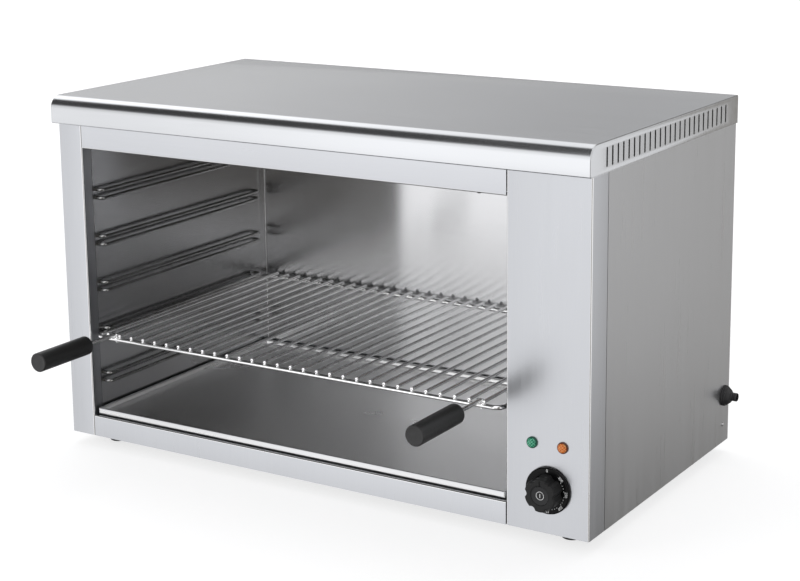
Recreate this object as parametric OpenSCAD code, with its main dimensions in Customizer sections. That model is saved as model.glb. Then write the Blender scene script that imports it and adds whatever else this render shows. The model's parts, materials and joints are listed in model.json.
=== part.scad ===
// Hanging electric cheese melter: folded sheet body, vented cap, wire rack on
// five pairs of side guides, crumb tray, roof elements and a control bay.
// Working frame: X across, Y from the front face to the back, Z up from the body's
// underside. The part's own origin is the centre of its footprint, at the feet.

/* [Body] */
// Width of the body across its side panels
body_w = 680; // [600:5:800]
// Depth of the body from the front face to the back panel
body_d = 363; // [352:1:420]
// Height of the body from its underside to the cap
body_h = 371.5; // [360:0.5:430]
// Thickness of the sheet steel
sheet_t = 1; // [0.8:0.1:1.2]
// Width of the left front post
post_w = 34; // [30:1:44]
// Width of the control panel
panel_w = 94; // [84:1:120]
// How far the front pieces wrap round onto the sides
wrap_d = 35; // [30:0.5:50]
// How far the front pieces fold back into the opening
fold_d = 15; // [10:1:16]
// Gap at each seam between two panels
seam = 0.5; // [0.2:0.1:0.6]
// Height of the strip above the opening
strip_h = 28; // [26:0.5:36]
// Height of the rail below the opening
rail_h = 25; // [20:0.5:32]

/* [Cap] */
// Height of the cap
cap_h = 31.5; // [30:0.5:50]
// How far the cap stands proud of the front
cap_front = 9.5; // [6:0.5:14]
// How far the cap stands proud of each side
cap_side = 2.2; // [1.5:0.1:4]
// Radius of the cap's rounded front edge
nose_r = 15; // [12:0.5:18]
// Width of the cap's folded-in lower edge
cap_fold = 14; // [12:1:20]
// Distance from one vent slot to the next
slot_pitch = 12.5; // [9:0.1:13]
// Width of a vent slot
slot_w = 3.2; // [2:0.1:4]
// Height of a vent slot
slot_h = 20; // [14:0.5:21]
// Distance from the front face to the middle of the first slot
slot_y = 26; // [22:1:40]
// Distance from the cap's top to the top of the slots
slot_drop = 6; // [5:0.5:8]

/* [Cavity] */
// Space between the cavity's back wall and the back panel
back_gap = 18.5; // [17:0.5:24]
// Space above the cavity's ceiling, below the cap
roof_gap = 13.5; // [12:0.5:18]
// Height of the two runners pressed into the floor
runner_h = 1; // [0.8:0.1:1.5]
// Width of a floor runner
runner_w = 14; // [10:1:20]
// Distance of a floor runner from the cavity's side
runner_in = 70; // [40:5:110]
// Thickness of the wool at the control bay
bay_wool = 10; // [6:1:12]
// Width of the side walls' laps on the cavity's back wall
lap_w = 5; // [4:1:8]

/* [Guides] */
// Height from one level to the next
level_pitch = 55; // [45:1:56]
// Height of the lowest guide rod's axis above the underside
level_z = 62.5; // [60:0.5:70]
// Diameter of a guide rod
guide_d = 4; // [3:0.1:5]
// Free play of the rack's frame wire between the two rods of a level
guide_play = 0.4; // [0.3:0.1:1]
// Distance of a guide rod's axis from the wall
guide_out = 9.5; // [8:0.5:11]
// Distance of the guides from the front face
guide_front = 19; // [18:1:30]
// Distance of the guides from the cavity's back wall
guide_back = 18; // [8:1:25]
// Bend radius of the guide rods
guide_bend = 5; // [4:0.5:6]

/* [Rack] */
// Level that the rack rests on, counted from the floor
rack_level = 2; // [1:1:3]
// Diameter of the rack's frame wire
frame_d = 5; // [4:0.1:6]
// Distance of the frame's side wires from the cavity walls
rack_side = 7.5; // [7:0.5:9]
// Distance of the front wire from the front face
rack_front = 2; // [1:0.5:6]
// Distance of the back wire from the cavity's back wall
rack_back = 10.5; // [9:0.5:20]
// Bend radius of the frame's corners
rack_bend = 10; // [8:1:14]
// Diameter of a rack bar
bar_d = 4; // [3:0.1:4]
// Distance from one bar to the next
bar_pitch = 17.2; // [12:0.1:24]
// Least distance of the outer bars from the side wires
bar_margin = 15; // [13:1:24]
// How far the bars pass the front wire's axis
bar_front = 1.6; // [0.5:0.1:2.4]
// How far the bars pass the back wire's axis
bar_back = 4; // [2:0.5:5]
// Diameter of a handle rod
rod_d = 5; // [4:0.1:6]
// Length of a handle rod in front of the front wire
rod_out = 48; // [40:1:70]
// Gap between the right handle rod and the last bar
rod_gap = 0.7; // [0.5:0.1:1.2]
// Diameter of a grip
grip_d = 21.5; // [18:0.5:26]
// Length of a grip
grip_l = 80; // [60:1:120]

/* [Tray] */
// Clearance at each side of the tray
tray_side = 3; // [2:0.5:6]
// Distance of the tray's front lip from the front face
tray_front = 4; // [2:0.5:8]
// Clearance behind the tray
tray_back = 3; // [2:0.5:6]
// Thickness of the tray's sheet
tray_t = 0.8; // [0.6:0.1:1]
// Height of the tray's walls
tray_h = 7.2; // [7:0.1:10]

/* [Heating] */
// Diameter of a heating tube
tube_d = 8; // [6.5:0.5:8.5]
// Depth of the tubes' axes below the ceiling
tube_drop = 18; // [14:1:18]
// Distance from the front face to the first run
tube_front = 58; // [50:1:70]
// Distance of the last run from the cavity's back wall
tube_rear = 47.5; // [40:0.5:60]
// Distance of the tubes' bends from the cavity walls
tube_end = 12; // [8:1:20]
// Length of a tube's cold end inside the control bay
tube_tail = 22; // [18:1:24]

/* [Controls] */
// Height of the knob's axis above the underside
knob_z = 46.8; // [40:0.1:60]
// Distance of the knob's axis from the control panel's middle
knob_off = 1.6; // [0:0.1:3]
// Diameter of the knob's skirt
skirt_d = 49; // [46:0.5:56]
// Thickness of the knob's skirt
skirt_t = 3.5; // [3:0.1:6]
// Diameter of the knob's hub
hub_d = 35; // [30:0.5:38]
// Distance of the hub's face from the skirt's back
hub_h = 19.5; // [17:0.5:24]
// Number of finger scallops round the hub
scallop_n = 6; // [4:1:8]
// Diameter of the thermostat's shaft
shaft_d = 6; // [5:0.5:7]
// Height of the pilot lamps above the underside
lamp_z = 94; // [88:0.5:120]
// Distance between the two pilot lamps
lamp_gap = 34.4; // [24:0.1:46]
// Diameter of a lamp's bezel
bezel_d = 12; // [11:0.5:15]
// Diameter of a lamp's barrel
barrel_d = 9.6; // [8:0.1:10]

/* [Fittings] */
// Diameter of a rubber foot
foot_d = 22; // [18:1:26]
// Height of a rubber foot
foot_h = 15; // [10:0.5:20]
// Distance of a foot's axis from the sides and the front
foot_in = 38; // [32:1:44]
// Distance of the cable gland's axis from the back
gland_back = 14; // [14:0.5:22]
// Height of the cable gland's axis above the underside
gland_z = 56; // [50:1:64]
// Diameter of the gland's flange
gland_d = 24; // [22:0.5:26]
// Diameter of the gland's thread
gland_thread_d = 15.8; // [15:0.1:16.5]
// Diameter of the gland's bore, for the supply cable
gland_bore_d = 7.6; // [6:0.1:8]
// Distance of the holes for hanging the part from its sides
hang_in = 20; // [17:1:24]
// Distance of the upper hanging holes below the cap
hang_top = 41.5; // [30:0.5:60]
// Height of the lower hanging holes above the underside
hang_z = 90; // [85:1:100]
// Diameter of a hanging hole
hang_d = 8; // [6:0.5:9]

/* [Hidden] */
$fn = 48;
// the body's half width and the cavity's six faces
hw = body_w / 2;
cav_l = -hw + post_w;
cav_r = hw - panel_w;
cav_x = (cav_l + cav_r) / 2;
cav_b = body_d - back_gap - sheet_t;
cav_top = body_h - roof_gap - sheet_t;
floor_top = rail_h;
inner_y = fold_d + seam;
bay_x = hw - panel_w / 2;
hang_x = body_w - 2 * hang_in;
hang_y = body_h - hang_z - hang_top;
// the cap
cap_top = body_h + cap_h;
cap_hw = hw + cap_side;
slot_n = floor((body_d - 2 * slot_y) / slot_pitch) + 1;
// the rack: clear of its lower rod by rest_gap
rest_gap = 0.3;
guide_gap = frame_d + guide_d + rest_gap + guide_play;
low_z = level_z + (rack_level - 1) * level_pitch;
frame_z = low_z + guide_d / 2 + rest_gap + frame_d / 2;
bar_z = frame_z + frame_d / 2 + bar_d / 2;
rod_z = frame_z + frame_d / 2 + rod_d / 2;
rack_l = cav_l + rack_side;
rack_r = cav_r - rack_side;
front_y = rack_front;
back_y = cav_b - rack_back;
bar_n = floor((rack_r - rack_l - 2 * bar_margin) / bar_pitch) + 1;
first_bar = cav_x - (bar_n - 1) * bar_pitch / 2;
last_bar = first_bar + (bar_n - 1) * bar_pitch;
handle_x = [first_bar + bar_pitch / 2, last_bar - (bar_d + rod_d) / 2 - rod_gap];
hook_bend = (frame_d + rod_d) / 2;
hook_y = front_y + hook_bend;
hook_drop = 5;
grip_y = front_y - rod_out;
grip_bore_l = 30;
// the tray, on the floor's runners
tray_z = floor_top + runner_h + rest_gap;
tray_l = cav_l + tray_side;
tray_r = cav_r - tray_side;
tray_b = cav_b - tray_back;
// the heating tubes, as two serpentines of four runs
tube_runs = 4;
tube_pitch = (cav_b - tube_front - tube_rear) / (2 * tube_runs - 1);
tube_z = cav_top - tube_drop;
tube_l = cav_l + tube_end + tube_pitch / 2 + tube_d / 2;
tube_r = cav_r - tube_end - tube_pitch / 2 - tube_d / 2;
tube_y = [tube_front, tube_front + tube_runs * tube_pitch];
tube_fit = 0.2;
hanger_in = 60;
hanger_x = [cav_l + hanger_in, cav_x, cav_r - hanger_in];
hanger_t = 1.5;
hanger_edge = 12;
collar_d = 16;
collar_l = 6;
// the thermostat and its knob
knob_x = bay_x + knob_off;
knob_gap = 0.6;
stat_w = 42;
stat_h = 34;
stat_d = 32;
bushing_d = 10;
bushing_fit = 0.2;
shaft_fit = 0.05;
shaft_in = 14;
shaft_out = 13;
recess_d = 20;
recess_h = 1.4;
insert_t = 1;
lens_d = 9.6;
lens_h = 2.2;
bezel_t = 2;
barrel_l = 24;
lamp_x = [bay_x - lamp_gap / 2, bay_x + lamp_gap / 2];
bulb_d = 6;
bulb_l = 78;
bulb_y = cav_b - 16;
bulb_z = cav_top - 16;
capillary_d = 2;
// the supply's fittings
gland_flange_t = 4;
gland_dome_l = 5;
gland_spout_l = 7;
gland_spout_d = 9.6;
gland_in = 13;
gland_y = body_d - gland_back;
gland_len = gland_in + sheet_t + gland_flange_t + gland_dome_l + gland_spout_l;
nut_t = 5;
nut_d = 22;
block_w = 24;
block_l = 60;
block_h = 20;
block_back = 120;
block_y = body_d - block_back;
port_d = 5;
port_z = sheet_t + block_h - 8;
port_x = [for (i = [0:3]) bay_x + (i - 1.5) * lamp_gap / 3];
stud_x = bay_x - 18;
stud_y = body_d - 60;
stud_d = 5;
stud_h = 16;
wire_d = 2.4;
lead_bend = 6;
// feet and screws
foot_y = [foot_in, body_d - foot_in];
foot_x = [-hw + foot_in, hw - foot_in];
foot_screw_d = 5;
foot_recess_d = 10;
foot_recess_h = 5;
screw_d = 4;
screw_head_d = 8;
screw_head_h = 2;
back_screw_in = 14;
pan_h = 20;
wool_gap = 0.3;
// the part's origin: the centre of its footprint, at the feet
far_x = hw + gland_flange_t + gland_dome_l + gland_spout_l;
near_y = grip_y - grip_l;
far_y = body_d + screw_head_h;
origin = [(far_x - cap_hw) / 2, (far_y + near_y) / 2, -foot_h];

steel = "silver";
bright = "gainsboro";
dull = "darkgray";
black = [0.08, 0.08, 0.08];

// ---- helpers -------------------------------------------------------------

module place() { translate(-origin) children(); }

// a box from its lowest corner to its highest
module span(a, b) { translate(a) cube(b - a); }

module rod_x(x0, x1, y, z, d) { translate([x0, y, z]) rotate([0, 90, 0]) cylinder(h = x1 - x0, d = d); }
module rod_y(y0, y1, x, z, d) { translate([x, y0, z]) rotate([-90, 0, 0]) cylinder(h = y1 - y0, d = d); }
module rod_z(z0, z1, x, y, d) { translate([x, y, z0]) cylinder(h = z1 - z0, d = d); }

// a bend of round wire: a sector of a torus about Z, from angle a0 over sweep degrees
module bend(r, d, a0, sweep) {
    rotate([0, 0, a0]) rotate_extrude(angle = sweep) translate([r, 0]) circle(d = d);
}

// children placed at a point, with their three axes turned to x, y and z
module turned(at, x, y, z) {
    multmatrix([[x[0], y[0], z[0], at[0]], [x[1], y[1], z[1], at[1]], [x[2], y[2], z[2], at[2]],
        [0, 0, 0, 1]]) children();
}

// round wire through a list of points, each straight along an axis, with bends of radius r
module lead(points, d, r) {
    n = len(points) - 1;
    way = [for (i = [0:n - 1]) (points[i + 1] - points[i]) / norm(points[i + 1] - points[i])];
    for (i = [0:n - 1]) {
        u = way[i];
        side = [u[1], u[2], u[0]];
        a = points[i] + u * (i > 0 ? r : 0);
        b = points[i + 1] - u * (i < n - 1 ? r : 0);
        turned(a, side, cross(u, side), u) cylinder(h = norm(b - a), d = d);
        if (i < n - 1) turned(points[i + 1] + (way[i + 1] - u) * r, -way[i + 1], u, cross(u, way[i + 1]))
            bend(r, d, 0, 90);
    }
}

// a sheet lying in a plane of constant Y, with its four edges given
module upright(x0, x1, z0, z1, y0) { span([x0, y0, z0], [x1, y0 + sheet_t, z1]); }

// the places of the screws along the back panel's two long edges
back_screw_x = [for (i = [0:3]) -hw + back_screw_in + i * (body_w - 2 * back_screw_in) / 3];
back_screw_z = [back_screw_in, body_h - back_screw_in];
side_screw_y = body_d - 17;
side_screw_z = 22;

// ---- outer body ----------------------------------------------------------

module base_pan() {
    color(dull) difference() {
        union() {
            span([-hw + sheet_t, sheet_t, 0], [hw - sheet_t, body_d - sheet_t, sheet_t]);
            for (side = [-1, 1]) translate([side * (hw - 1.5 * sheet_t), 0, 0])
                span([-sheet_t / 2, wrap_d + seam, 0], [sheet_t / 2, body_d - sheet_t, pan_h]);
            upright(-hw + sheet_t, hw - sheet_t, 0, pan_h, body_d - 2 * sheet_t);
        }
        for (x = foot_x, y = foot_y) rod_z(-1, sheet_t + 1, x, y, foot_screw_d);
        for (x = back_screw_x) rod_y(body_d - 3 * sheet_t, body_d, x, back_screw_in, screw_d);
    }
}

module side_panel(side) {
    x0 = side > 0 ? hw - sheet_t : -hw;
    fold_x = side > 0 ? hw - sheet_t - 12 : -hw + sheet_t;
    color(steel) difference() {
        union() {
            span([x0, wrap_d + seam, 0], [x0 + sheet_t, body_d - sheet_t, body_h]);
            span([fold_x, wrap_d + seam, body_h - sheet_t], [fold_x + 12, body_d - sheet_t, body_h]);
        }
        if (side > 0) rod_x(hw - 2 * sheet_t, hw + 1, gland_y, gland_z, gland_thread_d);
    }
}

module left_side_panel() { side_panel(-1); }
module right_side_panel() { side_panel(1); }

module back_panel() {
    color(steel) difference() {
        upright(-hw, hw, 0, body_h, body_d - sheet_t);
        for (side = [-1, 1], row = [0, 1])
            rod_y(body_d - sheet_t - 1, body_d + 1, side * hang_x / 2, hang_z + row * hang_y, hang_d);
        for (x = back_screw_x, z = back_screw_z)
            rod_y(body_d - sheet_t - 1, body_d + 1, x, z, screw_d);
    }
}

// a front piece folded round a corner: face, return along the side, and fold into the opening
module left_post() {
    color(bright) union() {
        upright(-hw, cav_l, 0, body_h, 0);
        span([-hw, 0, 0], [-hw + sheet_t, wrap_d, body_h]);
        span([cav_l - sheet_t, 0, sheet_t], [cav_l, fold_d, body_h - sheet_t]);
    }
}

module control_panel() {
    color(bright) difference() {
        union() {
            upright(cav_r, hw, 0, body_h, 0);
            span([hw - sheet_t, 0, 0], [hw, wrap_d, body_h]);
            span([cav_r, 0, sheet_t], [cav_r + sheet_t, fold_d, body_h - sheet_t]);
        }
        rod_y(-1, sheet_t + 1, knob_x, knob_z, bushing_d + 2 * bushing_fit);
        for (x = lamp_x) rod_y(-1, sheet_t + 1, x, lamp_z, barrel_d + 2 * bushing_fit);
    }
}

module top_front_strip() {
    color(bright) union() {
        upright(cav_l, cav_r, body_h - strip_h, body_h, 0);
        span([cav_l, 0, body_h - strip_h], [cav_r, fold_d, body_h - strip_h + sheet_t]);
    }
}

module bottom_front_rail() {
    color(bright) union() {
        upright(cav_l, cav_r, 0, rail_h, 0);
        span([cav_l, 0, rail_h - sheet_t], [cav_r, fold_d, rail_h]);
    }
}

// the cap's block with its rounded front edge, set in from the outside by inset
module cap_block(inset, z0) {
    r = nose_r - inset;
    y0 = -cap_front + inset;
    x0 = -cap_hw + inset;
    span([x0, y0 + r, z0], [-x0, body_d - inset, cap_top - inset]);
    span([x0, y0, z0], [-x0, y0 + r, cap_top - inset - r]);
    rod_x(x0, -x0, y0 + r, cap_top - inset - r, 2 * r);
}

module vent_slots() {
    z1 = cap_top - slot_drop - slot_w / 2;
    z0 = cap_top - slot_drop - slot_h + slot_w / 2;
    for (i = [0:slot_n - 1]) {
        y = slot_y + i * slot_pitch;
        span([-cap_hw - 1, y - slot_w / 2, z0], [cap_hw + 1, y + slot_w / 2, z1]);
        for (z = [z0, z1]) rod_x(-cap_hw - 1, cap_hw + 1, y, z, slot_w);
    }
}

module top_cap() {
    color(steel) difference() {
        cap_block(0, body_h);
        cap_block(sheet_t, body_h + sheet_t);
        span([-hw + cap_fold, cap_fold, body_h - 1],
            [hw - cap_fold, body_d - cap_fold, body_h + sheet_t + 1]);
        vent_slots();
    }
}

// ---- cavity --------------------------------------------------------------

// a side wall's rear edge, folded in over the back wall
module lap(x0) { span([x0, cav_b - sheet_t, floor_top], [x0 + lap_w + sheet_t, cav_b, cav_top]); }

module liner_left_wall() {
    color(dull) union() {
        span([cav_l - sheet_t, inner_y, floor_top - sheet_t], [cav_l, cav_b, cav_top]);
        lap(cav_l - sheet_t);
    }
}

module liner_right_wall() {
    color(dull) difference() {
        union() {
            span([cav_r, inner_y, floor_top - sheet_t], [cav_r + sheet_t, cav_b, cav_top]);
            lap(cav_r - lap_w);
        }
        for (y0 = tube_y, i = [0, tube_runs - 1])
            rod_x(cav_r - 1, cav_r + sheet_t + 1, y0 + i * tube_pitch, tube_z, tube_d + 2 * tube_fit);
        rod_x(cav_r - 1, cav_r + sheet_t + 1, bulb_y, bulb_z, capillary_d + 1);
    }
}

module liner_back_wall() {
    color(dull) upright(cav_l - sheet_t, cav_r + sheet_t, floor_top - sheet_t, cav_top, cav_b);
}

module reflector() {
    color(dull) span([cav_l - sheet_t, inner_y, cav_top],
        [cav_r + sheet_t, cav_b + sheet_t, cav_top + sheet_t]);
}

module liner_floor() {
    color(dull) union() {
        span([cav_l, inner_y, floor_top - sheet_t], [cav_r, cav_b, floor_top]);
        for (x = [cav_l + runner_in, cav_r - runner_in])
            span([x - runner_w / 2, inner_y + 2, floor_top],
                [x + runner_w / 2, cav_b - 2, floor_top + runner_h]);
    }
}

// one guide rod: a bar along the wall whose two ends bend into it
module guide_rod(z) {
    y0 = guide_front + guide_d / 2;
    y1 = cav_b - guide_back - guide_d / 2;
    straight = guide_out - guide_bend;
    translate([0, 0, z]) union() {
        rod_y(y0 + guide_bend, y1 - guide_bend, guide_out, 0, guide_d);
        rod_x(0, straight, y0, 0, guide_d);
        rod_x(0, straight, y1, 0, guide_d);
        translate([straight, y0 + guide_bend, 0]) bend(guide_bend, guide_d, -90, 90);
        translate([straight, y1 - guide_bend, 0]) bend(guide_bend, guide_d, 0, 90);
    }
}

module guide(side, level) {
    z = level_z + (level - 1) * level_pitch;
    wall = side > 0 ? cav_r : cav_l;
    color(steel) translate([wall, 0, 0]) mirror([side > 0 ? 1 : 0, 0, 0]) {
        guide_rod(z);
        guide_rod(z + guide_gap);
    }
}

// ---- heating -------------------------------------------------------------

// four runs joined by three half-turns, with both tails through the right wall
module heating_tube(y0) {
    color("dimgray") translate([0, 0, tube_z]) union() {
        for (i = [0:tube_runs - 1]) {
            outer = i == 0 || i == tube_runs - 1;
            rod_x(tube_l, outer ? cav_r + tube_tail : tube_r, y0 + i * tube_pitch, 0, tube_d);
        }
        for (i = [0, 2]) translate([tube_l, y0 + (i + 0.5) * tube_pitch, 0])
            bend(tube_pitch / 2, tube_d, 90, 180);
        translate([tube_r, y0 + 1.5 * tube_pitch, 0]) bend(tube_pitch / 2, tube_d, -90, 180);
    }
}

module heating_tube_front() { heating_tube(tube_y[0]); }
module heating_tube_rear() { heating_tube(tube_y[1]); }

// strips under the ceiling that carry all eight runs
module tube_hangers() {
    y0 = tube_y[0] - hanger_edge;
    y1 = tube_y[1] + (tube_runs - 1) * tube_pitch + hanger_edge;
    color(dull) for (x = hanger_x) difference() {
        span([x - hanger_t / 2, y0, tube_z - tube_d], [x + hanger_t / 2, y1, cav_top]);
        for (i = [0:2 * tube_runs - 1])
            rod_x(x - hanger_t, x + hanger_t, tube_y[0] + i * tube_pitch, tube_z, tube_d + 2 * tube_fit);
    }
}

// ceramic collars where the tails reach the control bay
module tube_collars() {
    x0 = cav_r + sheet_t + bay_wool + wool_gap;
    color("white") for (y0 = tube_y, i = [0, tube_runs - 1]) difference() {
        rod_x(x0, x0 + collar_l, y0 + i * tube_pitch, tube_z, collar_d);
        rod_x(x0 - 1, x0 + collar_l + 1, y0 + i * tube_pitch, tube_z, tube_d);
    }
}

// ---- wool ----------------------------------------------------------------

module roof_wool() {
    z0 = cav_top + sheet_t + wool_gap;
    color("khaki") span([cav_l, max(cap_fold, fold_d) + 2, z0], [cav_r, cav_b, body_h + 6]);
}

module back_wool() {
    color("khaki") span([cav_l, cav_b + sheet_t + wool_gap, rail_h],
        [cav_r, body_d - 2 * sheet_t - wool_gap, cav_top - 6]);
}

module side_wool() {
    color("khaki") span([-hw + 2 * sheet_t + wool_gap, wrap_d + seam, rail_h],
        [cav_l - sheet_t - wool_gap, cav_b - 12, cav_top]);
}

module bay_wool_pad() {
    x0 = cav_r + sheet_t + wool_gap;
    color("khaki") difference() {
        span([x0, wrap_d + seam, rail_h], [cav_r + sheet_t + bay_wool, cav_b - 4, cav_top]);
        for (y0 = tube_y, i = [0, tube_runs - 1])
            rod_x(x0 - 1, cav_r + bay_wool + 3, y0 + i * tube_pitch, tube_z, tube_d + 2);
        rod_x(x0 - 1, cav_r + bay_wool + 3, bulb_y, bulb_z, capillary_d + 2);
    }
}

// ---- controls ------------------------------------------------------------

module thermostat() {
    bore_d = shaft_d + 2 * shaft_fit;
    color("tan") difference() {
        union() {
            span([knob_x - stat_w / 2, sheet_t, knob_z - stat_h / 2],
                [knob_x + stat_w / 2, sheet_t + stat_d, knob_z + stat_h / 2]);
            rod_y(-seam / 2, sheet_t + 1, knob_x, knob_z, bushing_d);
        }
        rod_y(-1, sheet_t + shaft_in + rest_gap, knob_x, knob_z, bore_d);
    }
}

module thermostat_shaft() {
    color(steel) rod_y(-shaft_out, sheet_t + shaft_in, knob_x, knob_z, shaft_d);
}

// the skirt carries the scale; the hub in front of it is scalloped for the fingers
module knob() {
    face_y = -knob_gap - hub_h;
    scallop_d = 9;
    color(black) difference() {
        union() {
            translate([knob_x, -knob_gap, knob_z]) rotate([90, 0, 0])
                cylinder(h = skirt_t - 1.5, d = skirt_d);
            translate([knob_x, -knob_gap - skirt_t + 1.5, knob_z]) rotate([90, 0, 0])
                cylinder(h = 1.5, d1 = skirt_d, d2 = skirt_d - 4);
            rod_y(face_y + 1.5, -knob_gap - skirt_t + 1, knob_x, knob_z, hub_d);
            translate([knob_x, face_y + 1.5, knob_z]) rotate([90, 0, 0])
                cylinder(h = 1.5, d1 = hub_d, d2 = hub_d - 3);
        }
        for (i = [0:scallop_n - 1]) {
            a = 90 + (i + 0.5) * 360 / scallop_n;
            rod_y(face_y - 1, -knob_gap - skirt_t, knob_x + (hub_d / 2 + 1.5) * cos(a),
                knob_z + (hub_d / 2 + 1.5) * sin(a), scallop_d);
        }
        rod_y(face_y - 1, face_y + recess_h, knob_x, knob_z, recess_d);
        span([knob_x - 0.6, face_y - 1, knob_z + recess_d / 2 + 1],
            [knob_x + 0.6, face_y + 0.8, knob_z + hub_d / 2 + 1]);
        rod_y(-shaft_out, 0, knob_x, knob_z, shaft_d);
        rod_y(-knob_gap - 2, 0, knob_x, knob_z, bushing_d + 2);
    }
}

module knob_insert() {
    y1 = -knob_gap - hub_h + recess_h;
    color("dimgray") rod_y(y1 - insert_t, y1, knob_x, knob_z, recess_d - 2 * shaft_fit);
}

module lamp_body(x) {
    color(black) difference() {
        union() {
            rod_y(-bezel_t, 0, x, lamp_z, bezel_d);
            rod_y(0, barrel_l, x, lamp_z, barrel_d);
        }
        rod_y(-bezel_t - 1, -bezel_t + 1.2, x, lamp_z, lens_d);
    }
}

// a low faceless dome, seated in the bezel
module lens(x, tint) {
    r = (lens_d * lens_d / 4 + lens_h * lens_h) / (2 * lens_h);
    color(tint) intersection() {
        translate([x, -bezel_t + 1.2 - lens_h + r, lamp_z]) sphere(r = r);
        rod_y(-bezel_t - lens_h, -bezel_t + 1.2, x, lamp_z, lens_d);
    }
}

module green_lamp_body() { lamp_body(lamp_x[0]); }
module amber_lamp_body() { lamp_body(lamp_x[1]); }
module green_lens() { lens(lamp_x[0], "green"); }
module amber_lens() { lens(lamp_x[1], "orange"); }

// the feeler of the thermostat, along the top of the back wall
module thermostat_bulb() {
    clip_w = 8;
    lip = bulb_d / 2 + 1;
    color("peru") rod_x(cav_r - 10 - bulb_l, cav_r - 10, bulb_y, bulb_z, bulb_d);
    color(steel) for (x = [cav_r - 20 - clip_w, cav_r - bulb_l + clip_w])
        difference() {
            span([x, bulb_y - lip, bulb_z - lip], [x + clip_w, cav_b, bulb_z + lip]);
            rod_x(x - 1, x + clip_w + 1, bulb_y, bulb_z, bulb_d);
        }
}

// from the thermostat's back, up and along the bay, and through the wall to the feeler
module capillary() {
    x = bay_x + 12;
    y = sheet_t + stat_d + 12;
    color("peru") lead([[x, sheet_t + stat_d, knob_z], [x, y, knob_z], [x, y, bulb_z],
        [x, bulb_y, bulb_z], [cav_r - 10, bulb_y, bulb_z]], capillary_d, lead_bend);
}

// two rows of four ports, the outer ones in line with the lamps
module terminal_block() {
    color("ivory") difference() {
        span([bay_x - block_l / 2, block_y, sheet_t],
            [bay_x + block_l / 2, block_y + block_w, sheet_t + block_h]);
        for (x = port_x, row = [1, 3])
            rod_z(port_z, sheet_t + block_h + 1, x, block_y + row * block_w / 4, port_d);
    }
}

module earth_stud() {
    color("goldenrod") union() {
        rod_z(sheet_t, sheet_t + stud_h, stud_x, stud_y, stud_d);
        rod_z(sheet_t, sheet_t + 4, stud_x, stud_y, 2 * stud_d);
    }
}

// element and lamp leads inside the control bay
module wiring() {
    tail_x = cav_r + tube_tail;
    y = block_y + block_w / 4;
    color("firebrick") {
        for (k = [0, 1]) {
            tail_y = tube_y[k] + k * (tube_runs - 1) * tube_pitch;
            lead([[port_x[k + 1], y, port_z], [port_x[k + 1], y, tube_z],
                [port_x[k + 1], tail_y, tube_z], [tail_x, tail_y, tube_z]], wire_d, lead_bend);
        }
        for (k = [0, 1])
            lead([[lamp_x[k], barrel_l, lamp_z], [lamp_x[k], y, lamp_z], [lamp_x[k], y, port_z]],
                wire_d, lead_bend);
    }
}

// ---- fittings ------------------------------------------------------------

// flange, dome and spout outside the panel; thread inside it; bored right through
module cable_gland() {
    dome_x = hw + gland_flange_t;
    spout_x = dome_x + gland_dome_l;
    color(black) translate([0, gland_y, gland_z]) difference() {
        union() {
            rod_x(hw, dome_x, 0, 0, gland_d);
            translate([dome_x, 0, 0]) rotate([0, 90, 0])
                cylinder(h = gland_dome_l, d1 = gland_d - 3, d2 = gland_spout_d + 4);
            rod_x(spout_x, spout_x + gland_spout_l, 0, 0, gland_spout_d);
            rod_x(hw - sheet_t - gland_in, hw, 0, 0, gland_thread_d);
        }
        rod_x(hw - gland_len, far_x + 1, 0, 0, gland_bore_d);
    }
}

module gland_nut() {
    x1 = hw - sheet_t;
    color(black) translate([x1 - nut_t, gland_y, gland_z]) rotate([0, 90, 0]) difference() {
        cylinder(h = nut_t, d = nut_d, $fn = 6);
        translate([0, 0, -1]) cylinder(h = nut_t + 2, d = gland_thread_d);
    }
}

module foot(x, y) {
    color(black) difference() {
        union() {
            rod_z(-foot_h + 2, 0, x, y, foot_d);
            translate([x, y, -foot_h]) cylinder(h = 2, d1 = foot_d - 3, d2 = foot_d);
        }
        rod_z(-foot_h - 1, -foot_h + foot_recess_h, x, y, foot_recess_d);
        rod_z(-foot_h, 1, x, y, foot_screw_d);
    }
}

module foot_screws() {
    color(steel) for (x = foot_x, y = foot_y) union() {
        rod_z(-foot_h + foot_recess_h, sheet_t, x, y, foot_screw_d);
        rod_z(-foot_h + foot_recess_h - 3, -foot_h + foot_recess_h, x, y, 1.7 * foot_screw_d);
        rod_z(sheet_t, sheet_t + 4, x, y, 1.7 * foot_screw_d);
    }
}

module back_screws() {
    color(steel) for (x = back_screw_x, z = back_screw_z) union() {
        rod_y(body_d, body_d + screw_head_h, x, z, screw_head_d);
        rod_y(body_d - sheet_t - 5, body_d, x, z, screw_d);
    }
}

module side_screws() {
    color(steel) for (side = [-1, 1]) {
        x0 = side > 0 ? hw : -hw - 1.5;
        rod_x(x0, x0 + 1.5, side_screw_y, side_screw_z, 4.5);
    }
}

// ---- rack ----------------------------------------------------------------

// a closed rectangle of wire with bent corners
module rack_frame() {
    r = rack_bend;
    color(steel) translate([0, 0, frame_z]) union() {
        for (y = [front_y, back_y]) rod_x(rack_l + r, rack_r - r, y, 0, frame_d);
        for (x = [rack_l, rack_r]) rod_y(front_y + r, back_y - r, x, 0, frame_d);
        translate([rack_r - r, back_y - r, 0]) bend(r, frame_d, 0, 90);
        translate([rack_l + r, back_y - r, 0]) bend(r, frame_d, 90, 90);
        translate([rack_l + r, front_y + r, 0]) bend(r, frame_d, 180, 90);
        translate([rack_r - r, front_y + r, 0]) bend(r, frame_d, 270, 90);
    }
}

module rack_bars() {
    color(steel) for (i = [0:bar_n - 1])
        rod_y(front_y - bar_front, back_y + bar_back, first_bar + i * bar_pitch, bar_z, bar_d);
}

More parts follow.
